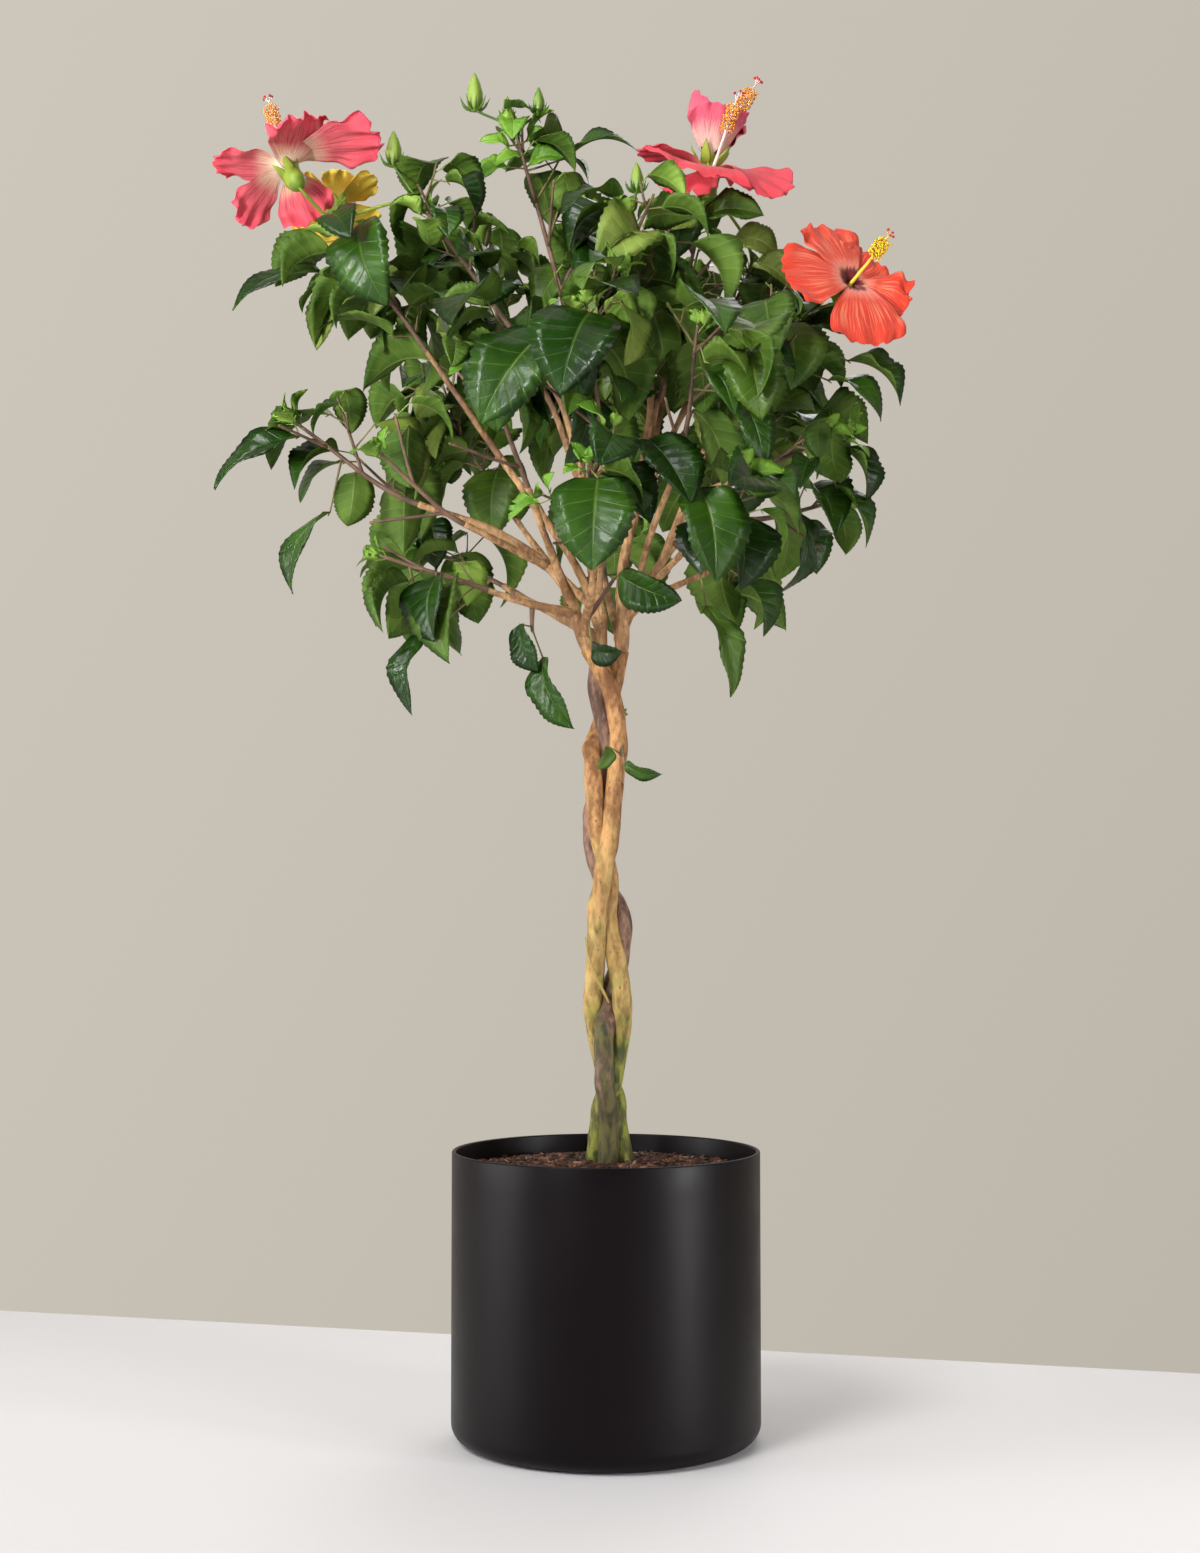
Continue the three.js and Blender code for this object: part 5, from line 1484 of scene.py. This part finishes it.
def blade_points(leaf, table, draw):
    """A leaf's own points: the template waved, twisted, curled, arched, folded and rolled at random."""
    along, across, lift, side, _ = table.T
    length = leaf["length"]
    x = across * length * leaf["half"] * BLADE.fullness
    phases = draw.uniform(0, math.tau, 2)
    turns = draw.uniform(*BLADE.turns)
    phase = np.where(side > 0, phases[0], phases[1])
    wave = np.sin(math.tau * turns * along + phase) * side ** 2 * BLADE.wave * length
    twist = draw.uniform(-1, 1) * BLADE.twist * (along - BLADE.twist_from) * x
    curl = -draw.uniform(0, BLADE.curl) * length * along ** 3
    arch = draw.uniform(*BLADE.arch) * length * 4 * along * (1 - along)
    fold = LEAF.fold + draw.uniform() ** 2 * BLADE.folded
    rise = (-length * leaf["sag"] * along ** 2 + abs(x) * fold + lift * length / BLADE.usual_length
            + wave * (1 - BLADE.wave_eases * along) + twist + curl + arch)
    roll = 0 if "owner" in leaf else draw.uniform(-1, 1) * BLADE.roll
    normal = swung(leaf["normal"], leaf["side"], roll)
    level = swung(leaf["side"], -leaf["normal"], roll)
    return (leaf["neck"] + np.outer(along * length, leaf["axis"]) + np.outer(rise, normal)
            + np.outer(x, level))


# Each shade of leaf: its two greens, its veins' colour and its roughness. An underside has its gloss and how
# far its veins stand proud as well.

GREENS = dict(
    dark=((13, 38, 2), (27, 60, 6), (72, 102, 32), 0.31),
    deep=((28, 58, 6), (48, 84, 14), (96, 124, 46), 0.34),
    middle=((54, 86, 18), (86, 114, 36), (128, 152, 66), 0.4),
    light=((94, 118, 40), (130, 148, 62), (162, 180, 90), 0.5),
    young=((82, 130, 28), (118, 162, 46), (166, 194, 92), 0.5))
UNDERSIDES = dict(leaf_under=((60, 90, 26), (96, 124, 46), (142, 160, 88), 0.62, 0.2, 2.5),
                  leaf_under_young=((110, 150, 52), (146, 178, 76), (176, 198, 110), 0.6, 0.2, 2))
SHADES = Table(seed=23, dark=0.3, deep=0.6, middle=0.86, lighter_high=0.1, own=0.62, added=0.7, small=0.6,
               young=0.12)


def shade_of(leaf, choice):
    """The shade of a leaf: the youngest are bright, and the highest lighter."""
    height = (leaf["neck"][2] - CROWN.bottom) / (CROWN.top - CROWN.bottom)
    if "owner" in leaf:
        choice = lerp(SHADES.added, 1, choice) if "added" in leaf else SHADES.own * choice
    small = leaf["share"] < SHADES.small and choice < SHADES.young
    if "tuft" in leaf or leaf.get("added") == "leader" or small:
        return "young"
    if choice < SHADES.dark:
        return "dark"
    if choice < SHADES.deep:
        return "deep"
    return "middle" if choice < SHADES.middle - SHADES.lighter_high * height else "light"


def make_leaves(leaves):
    """The leaves, dealt out to pieces by their shade."""
    blades = blade_template(**FULL_BLADE), blade_template(**SMALL_BLADE)
    draw = np.random.default_rng(SHADES.seed)
    shapes = {name: Shape() for name in GREENS}
    for leaf in leaves:
        shape = shapes[shade_of(leaf, draw.uniform())]
        table, blocks = blades["tuft" in leaf]
        surface = np.stack((table[:, 3] / 2 + 0.5, table[:, 4]), -1)
        shape.add(blade_points(leaf, table, draw), blocks, surface)
    under, under_young = (leaf_look(name, *row) for name, row in UNDERSIDES.items())
    for name, row in GREENS.items():
        looks = [leaf_look(f"leaf_{name}", *row), under_young if name == "young" else under]
        make_piece(f"leaves_{name}", shapes[name], looks)


# Blooms: five ruffled petals round a column of stamens, in a calyx on a stalk

PETAL = Table(rows=32, columns=29, fine=80, thick=0.45, depth=20, inset=2.6, ridge=0.35, rounding=0.17,
              round_power=2.4, overlap=3.5, scallop=0.025, scallops=5.2, scallop_level=0.2,
              edge_waves=2.6, edge_power=1.6, end_waves=3.1, end_share=0.7, frill_waves=7.3,
              frill_share=0.35, opened=0.46, curled=0.55, layer=0.6, most_bend=1.5, seed_step=7)
PETAL_WIDTHS = ((0, 0.16, 0.28, 0.45, 0.65, 0.85, 1), (0.06, 0.1, 0.23, 0.45, 0.63, 0.65, 0.5))

# Where along a petal each thing comes in

PETAL_FADES = dict(scallop=(0.8, 1), edge=(0.3, 1), end=(0.55, 1), frill=(0.82, 1), overlap=(0.15, 0.6),
                   ridge=(0.2, 0.5), ridge_ends=(0.86, 1), twist=(0.25, 0.8), free=(0.2, 0.5))


def petal(to, length=1.0, width=1.0, curl=10, ruffle=0.07, twist=0.0):
    """How a petal is held: the way it points in the end, its length and width beside the bloom's radius, how
    many degrees it curls on beyond that, how ruffled it is, and how far it is turned about its rib."""
    return dict(to=to, length=length, width=width, curl=curl, ruffle=ruffle, twist=twist)


# Each bloom as it stands in the photograph: its throat, the way its tube faces, the degrees by which its
# petals lean from it at their base, its stigma and its petals

FORMS = {
    "pink": dict(
        throat=(-313, -50, 1237), facing=(-0.42, 0.5, 0.75), base=12, stigma=(-336, -12, 1316), petals=(
            petal((-0.97, -0.15, -0.04), 0.84, 0.6, -6, 0.06, -0.55),
            petal((0.3, -0.5, 0.72), 0.58, 0.85, 18, 0.1, 0.3),
            petal((0.96, -0.1, 0.14), 1.26, 0.64, 16, 0.09, -0.2),
            petal((0.4, 0.1, -0.78), 0.62, 0.62, 8, 0.08),
            petal((-0.56, 0.1, -0.8), 0.84, 0.46, 8, 0.06))),
    "coral": dict(
        throat=(106, 0, 1252), facing=(0.2, -0.05, 0.97), base=12, stigma=(132, -8, 1322), petals=(
            petal((-0.95, 0.1, 0.22), 0.95, 0.55, 14, 0.035, -0.1),
            petal((-0.5, -0.42, -0.76), 0.5, 0.8, 8, 0.08),
            petal((-0.3, -0.85, -0.3), 0.62, 1.25, 22, 0.045, -0.3),
            petal((0.93, -0.22, -0.48), 1.05, 0.66, 12, 0.05, 0.6),
            petal((0.3, 0.9, 0.15), 0.9, 0.95, 14, 0.09))),
    "orange": dict(
        throat=(243, -42, 1127), facing=(0.35, -0.85, 0.4), base=14, stigma=(275, -66, 1164), petals=(
            petal((-1, -0.4, -0.06), 1.12, 0.98, 6, 0.035),
            petal((-0.46, 0.23, 0.88), 0.96, 0.98, 20, 0.06, 0.1),
            petal((0.5, 0.62, 0.8), 0.6, 0.85, 14, 0.06),
            petal((0.8, 0.0, -0.5), 0.76, 0.72, 10, 0.1, 0.6),
            petal((0.16, -0.35, -0.97), 1.16, 1.0, 6, 0.04))),
    "yellow": dict(
        throat=(-275, 44, 1232), facing=(-0.2, 0.7, 0.68), base=12, stigma=(-270, 110, 1258), petals=(
            petal((-0.9, -0.15, 0.0), 0.5, 0.9, 6, 0.05),
            petal((0.15, -0.2, 0.92), 0.35, 0.6, 6, 0.06),
            petal((0.86, 0.1, 0.55), 0.66, 0.5, 4, 0.04),
            petal((0.55, 0.3, -0.65), 0.58, 0.85, 10, 0.06),
            petal((-0.42, 0.2, -0.85), 0.66, 0.85, 10, 0.06))),
    "furled": dict(
        throat=(109, 40, 1290), facing=(0.18, -0.05, 0.98), base=44, stigma=(155, 30, 1350), closed=True,
        lobes=((27, 9), (20, 13), (12, 19), (4, 23)), petals=(
            petal((-0.2, -0.12, 0.97), 1.32, 0.85, -32, 0.05),
            petal((0.1, -0.44, 0.88), 0.95, 1.3, -6, 0.08),
            petal((0.58, -0.12, 0.8), 1.0, 1.2, -16, 0.1),
            petal((0.4, 0.35, 0.85), 0.95, 1.2, -8, 0.08),
            petal((-0.1, 0.35, 0.93), 1.0, 1.1, -12, 0.06))),
}

# Each bloom's colours: its veins and how strong they show, the stops from the throat to the edge inside and
# outside, and the two tones of its column and of its anthers

TINTS = {
    "pink": dict(
        veins=((176, 24, 62), 0.7),
        inside=((0.2, 150, 20, 52), (0.36, 240, 172, 158), (0.55, 226, 72, 100), (1, 238, 86, 110)),
        outside=((0.15, 255, 228, 198), (0.36, 252, 206, 176), (0.54, 240, 106, 114), (1, 242, 74, 96)),
        column=((240, 206, 190), (252, 232, 214)), anthers=((222, 140, 60), (244, 184, 92))),
    "coral": dict(
        veins=((196, 26, 52), 0.45),
        inside=((0.2, 140, 12, 36), (0.34, 232, 88, 98), (0.55, 230, 50, 70), (1, 236, 66, 82)),
        outside=((0.15, 240, 150, 120), (0.4, 226, 70, 84), (0.65, 216, 40, 64), (1, 226, 54, 76)),
        column=((240, 206, 196), (252, 234, 224)), anthers=((226, 136, 40), (244, 174, 70))),
    "orange": dict(
        veins=((246, 150, 112), 0.62),
        inside=((0.25, 112, 2, 8), (0.3, 238, 140, 122), (0.44, 220, 48, 24), (1, 222, 52, 20)),
        outside=((0.15, 240, 180, 130), (0.4, 222, 98, 58), (0.65, 206, 56, 28), (1, 210, 62, 28)),
        column=((236, 196, 50), (248, 220, 90)), anthers=((232, 186, 30), (250, 216, 60))),
    "yellow": dict(
        veins=((240, 176, 40), 0.4),
        inside=((0.2, 190, 56, 40), (0.36, 252, 228, 130), (0.5, 254, 210, 50), (1, 255, 220, 70)),
        outside=((0.15, 255, 232, 140), (0.4, 255, 224, 90), (0.65, 255, 218, 70), (1, 255, 224, 84)),
        column=((240, 206, 110), (250, 226, 140)), anthers=((226, 150, 40), (244, 184, 70))),
    "furled": dict(
        veins=((170, 16, 60), 0.5),
        inside=((0.2, 120, 6, 30), (0.45, 160, 14, 56), (0.7, 188, 22, 74), (1, 206, 40, 96)),
        outside=((0.2, 246, 210, 194), (0.5, 244, 188, 178), (0.72, 230, 108, 130), (1, 226, 78, 110)),
        column=((238, 196, 186), (250, 226, 214)), anthers=((226, 136, 40), (244, 174, 70))),
}
STIGMA = (176, 22, 30), (206, 44, 46)


def walk(rates, size):
    """How far a walk has come at each of its places, from its rate at each and the size of a step."""
    return np.concatenate(((0,), np.cumsum((rates[1:] + rates[:-1]) / 2) * size))


def petal_points(form, row, reach, draw):
    """One petal's points as a grid: rows from the throat to the frilled end, and columns across."""
    throat, facing, to = vec(form["throat"]), unit(vec(form["facing"])), unit(vec(row["to"]))
    turned = math.acos(float(facing @ to))
    outward = nearest_square(facing, to)
    across = np.cross(facing, outward)
    fine = np.linspace(0, 1, PETAL.fine)
    base = math.radians(form["base"])
    angles = (base + (turned - base) * smooth(0, PETAL.opened, fine)
              + math.radians(row["curl"]) * smooth(PETAL.curled, 1, fine))
    step = (PETAL.depth + row["length"] * reach) / (len(fine) - 1)
    rise = walk(np.cos(angles), step) - PETAL.depth
    spread = walk(np.sin(angles), step) + PETAL.inset
    along, side = np.meshgrid(np.linspace(0, 1, PETAL.rows), np.linspace(-1, 1, PETAL.columns),
                              indexing="ij")
    comes = {name: smooth(*ends, along) for name, ends in PETAL_FADES.items()}
    phases = draw.uniform(0, math.tau, 5)
    scallop = PETAL.scallop * np.sin(math.pi * PETAL.scallops * side + phases[4]) * comes["scallop"]
    at = (along * (1 - PETAL.rounding * abs(side) ** PETAL.round_power * along)
          + scallop * (along - PETAL.scallop_level))
    x = side * np.interp(at, *PETAL_WIDTHS) * reach * row["width"]
    edge = comes["edge"] * abs(side) ** PETAL.edge_power
    wave = np.sin(math.tau * PETAL.edge_waves * along + np.where(side > 0, phases[0], phases[1])) * edge
    frill = np.sin(math.pi * PETAL.end_waves * side + phases[2]) * comes["end"] * PETAL.end_share
    finer = np.sin(math.pi * PETAL.frill_waves * side + phases[3]) * comes["frill"] * PETAL.frill_share
    z = row["ruffle"] * reach * (wave + frill + finer) + PETAL.overlap * side * comes["overlap"]
    stripe = np.where(np.arange(PETAL.columns) % 2, 1, -1)
    z += PETAL.ridge * stripe * comes["ridge"] * (1 - comes["ridge_ends"])
    twist = row["twist"] * comes["twist"]
    z, x = z + x * np.sin(twist), x * np.cos(twist)
    forward = np.interp(at, fine, rise) + z * np.sin(np.interp(at, fine, angles))
    away = np.interp(at, fine, spread) - z * np.cos(np.interp(at, fine, angles))
    held = 1 if "closed" in form else 1 - comes["free"]
    round_axis = np.maximum(away + PETAL.layer * (side + 1), PETAL.inset)
    bend = np.clip(x / round_axis, -PETAL.most_bend, PETAL.most_bend)
    away, x = lerp(away, round_axis * np.cos(bend), held), lerp(x, round_axis * np.sin(bend), held)
    points = throat + forward[..., None] * facing + away[..., None] * outward + x[..., None] * across
    return points, np.stack((side / 2 + 0.5, along), -1).reshape(-1, 2)


def add_sheet(shape, points, thick, surface):
    """A thin closed sheet from a grid of points, thickened behind it: look 1 in front, look 0 behind."""
    rows, columns = points.shape[:2]
    normals = np.cross(np.gradient(points, axis=1), np.gradient(points, axis=0))
    normals /= np.maximum(np.linalg.norm(normals, axis=-1), 1e-9)[..., None]
    both = np.vstack((points.reshape(-1, 3), (points - normals * thick).reshape(-1, 3)))
    count = rows * columns
    front = grid_faces(rows, columns)
    grid = np.arange(count).reshape(rows, columns)
    rim = np.concatenate((grid[0, :-1], grid[:-1, -1], grid[-1, :0:-1], grid[:0:-1, 0]))
    after = np.roll(rim, -1)
    edge = np.stack((after, rim, rim + count, after + count), -1)
    shape.add(both, ((front, 1), (front[:, ::-1] + count, 0), (edge, 0)), np.vstack((surface, surface)))


# The green parts of blooms and buds. Lobes are outlines of (how far back, how far aside) and bracts of (how
# far ahead, how far aside), and the radii are those along each part.

CALYX = Table(bottom=40, top=14, cup=((0, 0.12, 0.45, 0.75, 1), (2.6, 7.6, 10.6, 9.8, 7.4)), rings=11,
              sides=15, lobes=((27, 8), (14, 9), (1, 14)), lobe_radii=(3.6, 5.2, 5.6, 5, 3.6, 1.8, 0.2),
              lobe_sides=6, lobe_flat=0.22, bracts=((0, 2), (5, 6), (12, 10)),
              bract_radii=(0.9, 1.3, 1.4, 1.1, 0.7, 0.2))
BLOOM_STALK = Table(radius=1.7, steps=14, sides=8, joint=0.82, joint_swell=0.35, joint_length=0.03)
BRACTS = Table(count=9, steps=5, sides=5)


def around(axis, count, offset=0.0):
    """Directions spread evenly about an axis."""
    first, second = square_to(axis)
    turns = (np.arange(count) + offset) / count * math.tau
    return [swung(first, second, turn) for turn in turns]


def add_bracts(shape, foot, axis, outline, radii, look):
    """Thin bracts about the foot of a bloom or bud."""
    for outward in around(axis, BRACTS.count):
        places = [foot + axis * ahead + outward * aside for ahead, aside in outline]
        tube(shape, smooth_line(places, BRACTS.steps), radii, BRACTS.sides, look)


def make_bloom(bloom, shoot_end, shoot_direction, greens):
    name, form, tints = bloom["name"], FORMS[bloom["name"]], TINTS[bloom["name"]]
    throat, facing = vec(form["throat"]), unit(vec(form["facing"]))
    draw = np.random.default_rng(bloom["radius"] * PETAL.seed_step)
    petals = Shape()
    for row in form["petals"]:
        points, surface = petal_points(form, row, bloom["radius"], draw)
        add_sheet(petals, points, PETAL.thick, surface)
    looks = [petal_look(f"petal_{name}", *tints["veins"], tints["inside"]),
             petal_look(f"petal_back_{name}", *tints["veins"], tints["outside"])]
    make_piece(f"petals_{name}", petals, looks)
    make_stamens(name, throat, facing, draw)
    shares = np.linspace(0, 1, CALYX.rings)
    cup = throat - facing * lerp(CALYX.bottom, CALYX.top, shares)[:, None]
    tube(greens, cup, np.interp(shares, *CALYX.cup), CALYX.sides)
    for outward in around(facing, PETALS, 0.5):
        places = [throat - facing * back + outward * aside for back, aside in form.get("lobes", CALYX.lobes)]
        tube(greens, smooth_line(places, len(CALYX.lobe_radii) - 1), CALYX.lobe_radii, CALYX.lobe_sides,
             flat=CALYX.lobe_flat, hint=np.cross(facing, outward))
    foot = throat - facing * (CALYX.bottom - 1)
    add_bracts(greens, foot, facing, CALYX.bracts, CALYX.bract_radii, 1)
    stalk = smooth_line([shoot_end, foot], BLOOM_STALK.steps, shoot_direction)
    off_joint = (np.linspace(0, 1, len(stalk)) - BLOOM_STALK.joint) / BLOOM_STALK.joint_length
    radii = BLOOM_STALK.radius * (1 + BLOOM_STALK.joint_swell * np.exp(-off_joint ** 2))
    tube(greens, stalk, radii, BLOOM_STALK.sides)


STAMENS = Table(count=110, first=0.52, last=0.84, fork=0.93, column=(2.1, 1.3, 0.7), column_steps=20,
                column_sides=9, root=0.8, bow=1.5, length=(4.5, 7.5), ahead=(0.5, 3), filament=0.3,
                filament_sides=4, bent_at=0.6, bent=0.4, anther=(1.1, 1.6), anther_rows=3, anther_sides=5)
STIGMAS = Table(aside=4.5, ahead=(-2, 2), bent_at=0.4, bent=1.2, stalk=0.45, stalk_steps=5, stalk_sides=5,
                radius=1.4, sides=7)

# The looks of those parts, past their two colours: as in the table of plain mottled surfaces

STAMEN_LOOKS = dict(filament=(40, 2, 0.1, 0.0005, 0.5), anther=(300, 2, 0.6, 0.0003, 0.8),
                    stigma=(300, 2, 0.5, 0.0003, 0.7))


def make_stamens(name, throat, facing, draw):
    """The column, its many anthers on the upper half, and five stigmas at its end."""
    end = vec(FORMS[name]["stigma"])
    root = throat - facing * PETAL.depth * STAMENS.root
    run = end - root
    fork = root + run * STAMENS.fork
    column = smooth_line([root, root + run * 0.5 + facing * STAMENS.bow - UP, fork], STAMENS.column_steps)
    shape = Shape()
    tube(shape, column, STAMENS.column, STAMENS.column_sides)
    for i in range(STAMENS.count):
        share = lerp(STAMENS.first, STAMENS.last, i / STAMENS.count) / STAMENS.fork
        start, along = stand_on(column, share)
        outward = around(along, 1, i * GOLDEN_ANGLE / math.tau)[0]
        tip = start + outward * draw.uniform(*STAMENS.length) + along * draw.uniform(*STAMENS.ahead)
        bent = lerp(start, tip, STAMENS.bent_at) + along * STAMENS.bent
        tube(shape, np.array((start, bent, tip)), STAMENS.filament, STAMENS.filament_sides)
        ball(shape, tip, draw.uniform(*STAMENS.anther), 1, None, STAMENS.anther_rows, STAMENS.anther_sides)
    ahead = unit(run)
    for outward in around(ahead, PETALS):
        tip = end + outward * STIGMAS.aside + ahead * draw.uniform(*STIGMAS.ahead)
        bent = lerp(fork, end, STIGMAS.bent_at) + outward * STIGMAS.bent
        stalk = smooth_line([fork - ahead, bent, tip], STIGMAS.stalk_steps)
        tube(shape, stalk, STIGMAS.stalk, STIGMAS.stalk_sides)
        ball(shape, tip, STIGMAS.radius, 2, sides=STIGMAS.sides)
    tones = dict(filament=TINTS[name]["column"], anther=TINTS[name]["anthers"], stigma=STIGMA)
    looks = [plain_look(f"{part}_{name}", *tones[part], *row) for part, row in STAMEN_LOOKS.items()]
    make_piece(f"stamens_{name}", shape, looks)


# The solids' bud on this branch is the calyx of the pink bloom, so no bud is made there

BUD_IN_CALYX = "upper_left"
BUD_MESH = Table(rings=15, sides=20, swell=1.15, ridges=5, ridge=0.03, ridges_from=(0, 0.2), stalk_steps=10,
                 stalk_sides=7, bracts=((0, 0.06), (0.08, 0.26), (0.32, 0.39)),
                 bract_radii=(0.8, 1.1, 1.3, 1.1, 0.7, 0.15))
BUD_WIDTHS = ((0, 0.06, 0.25, 0.5, 0.75, 0.92, 1), (0.08, 0.15, 0.205, 0.2, 0.135, 0.06, 0.015))


def make_bud(shape, bud, shoot_end, shoot_direction):
    """A ridged green bud in its calyx, with thin bracts at its foot."""
    length = bud["length"] * BUD_MESH.swell
    shares = np.linspace(0, 1, BUD_MESH.rings)
    line = vec(bud["tip"]) - UP * length * (1 - shares)[:, None]

    def ridges(_, outward):
        turns = np.arctan2(outward[..., 1], outward[..., 0])
        fade = smooth(*BUD_MESH.ridges_from, shares) * (1 - shares)
        return BUD_MESH.ridge * length * np.cos(BUD_MESH.ridges * turns) * fade[:, None]

    tube(shape, line, np.interp(shares, *BUD_WIDTHS) * length, BUD_MESH.sides, 1, relief=ridges)
    outline = [(ahead * length, aside * length) for ahead, aside in BUD_MESH.bracts]
    add_bracts(shape, line[0] + UP, UP, outline, BUD_MESH.bract_radii, 0)
    stalk = smooth_line([shoot_end, line[0] + UP * BUD.stalk_sunk], BUD_MESH.stalk_steps, shoot_direction)
    tube(shape, stalk, BUD.stalk_radius, BUD_MESH.stalk_sides)


def make_blossom(masses):
    greens, buds = Shape(), Shape()
    for mass in masses:
        shoot = mass["twigs"][0]["line"]
        end, direction = shoot[-1], direction_at(shoot, len(shoot) - 1)
        for bloom in BLOOMS:
            if bloom["on"] == mass["name"]:
                make_bloom(bloom, end, direction, greens)
        for bud in BUDS:
            if bud["on"] == mass["name"] != BUD_IN_CALYX:
                make_bud(buds, bud, end, direction)
    calyx, bract, bud_green = plain_looks("calyx_green", "bract_green", "bud_green")
    make_piece("calyxes", greens, [calyx, bract])
    make_piece("buds", buds, [bract, bud_green])


# The studio, in metres. The photograph's focal length and height are in pixels, and its tilt in degrees.

PHOTO = Table(height=1553, focal=2240, sensor=36, tilt=93)
WALL = Table(toward=(-1, 0, 0.58), shade=(186, 179, 168), light=(206, 199, 188), before=(56, 54, 52),
             shading=(-0.5, 0.5), turn=(-0.5, 0.35))
FLOOR = Table(size=12, depth=-0.0006, edge=((-0.765, 0.667), (0.654, 0.293)), colour=(232, 231, 234),
              roughness=0.7)

# Each light's place, the place it shines at, its size, its watts, its spread in degrees and its colour

LIGHTS = dict(
    key=((-2.3, -3.0, 3.8), (0, 0, 0.7), 2.0, 158, 180, (1, 0.99, 0.97)),
    side=((1.9, -2.1, 1.1), (0, 0, 0.9), 0.7, 14),
    front=((-1.9, -3.1, 0.9), (-0.06, 0, 1.2), 0.8, 4.2, 30),
    band=((1.95, -1.18, 0.3), (0, 0, 0.14), 0.5, 1.9, 40),
    left_wall=((-2.15, -0.38, 0.4), (0, 0, 0.14), 1.5, 5, 50),
    back=((0.6, 1.9, 2.4), (0, 0, 0.9), 1.4, 16),
    above=((0.2, -0.6, 4.2), (0, 0, 0), 2.4, 10))


def area_light(name, place, aim, size, power, spread=180, colour=(1, 1, 1)):
    data = bpy.data.lights.new(name, "AREA")
    data.spread = math.radians(spread)
    data.shape = "DISK"
    data.size = size
    data.energy = power
    data.color = colour
    light = bpy.data.objects.new(name, data)
    light.location = place
    light.rotation_euler = (Vector(aim) - Vector(place)).to_track_quat("-Z", "Y").to_euler()
    bpy.context.collection.objects.link(light)


def make_world():
    """The backdrop, a little lighter at the upper left, and a dimmer room before it that only lights."""
    world = bpy.data.worlds.new("studio")
    bpy.context.scene.world = world
    air = Nodes(world)
    way = air.node("ShaderNodeTexCoord").outputs["Generated"]
    slant = air.node("ShaderNodeVectorMath", {0: way, 1: WALL.toward}, operation="DOT_PRODUCT")
    share = air.span(slant.outputs["Value"], *WALL.shading, how="LINEAR")
    wall = air.mix(share, WALL.shade, WALL.light)
    depth = air.node("ShaderNodeSeparateXYZ", {0: way}).outputs["Y"]
    behind = air.span(depth, *WALL.turn, how="LINEAR")
    shown = air.math("MAXIMUM", air.node("ShaderNodeLightPath").outputs["Is Camera Ray"], behind)
    air.fill(air.tree.nodes["Background"].inputs["Color"], air.mix(shown, WALL.before, wall))


def make_studio():
    """A pale floor that ends at the backdrop along a slanting line, and soft light from the upper left."""
    half = FLOOR.size / 2
    left, right = (vec(place) for place in FLOOR.edge)
    slope = (right - left)[1] / (right - left)[0]
    ends = [(x, left[1] + slope * (x - left[0]), 0) for x in (half, -half)]
    mesh = bpy.data.meshes.new("floor")
    mesh.from_pydata([(-half, -half, 0), (half, -half, 0), *ends], [], [(0, 1, 2, 3)])
    mesh.materials.append(Look("floor", Roughness=FLOOR.roughness, Base_Color=FLOOR.colour).material)
    floor = bpy.data.objects.new("floor", mesh)
    floor.location.z = FLOOR.depth
    bpy.context.collection.objects.link(floor)
    make_world()
    bpy.context.scene.view_settings.view_transform = "Standard"
    for name, row in LIGHTS.items():
        area_light(name, *row)


def make_camera():
    data = bpy.data.cameras.new("camera")
    data.sensor_width = PHOTO.sensor
    data.lens = PHOTO.sensor * PHOTO.focal / PHOTO.height
    camera = bpy.data.objects.new("camera", data)
    camera.location = vec(EYE) * MM
    camera.rotation_euler = (math.radians(PHOTO.tilt), 0, 0)
    bpy.context.collection.objects.link(camera)
    bpy.context.scene.camera = camera


make_camera()
make_studio()
make_pot()
make_soil()
make_chips()
all_limbs, all_masses = grow_plant()
make_stems(all_limbs)
make_boughs(all_limbs)
make_twigs(all_masses)
root_leaves(all_masses, all_limbs)
all_leaves = [leaf for mass in all_masses for leaf in mass["leaves"]]
make_stalks(all_leaves)
make_leaves(all_leaves)
make_blossom(all_masses)
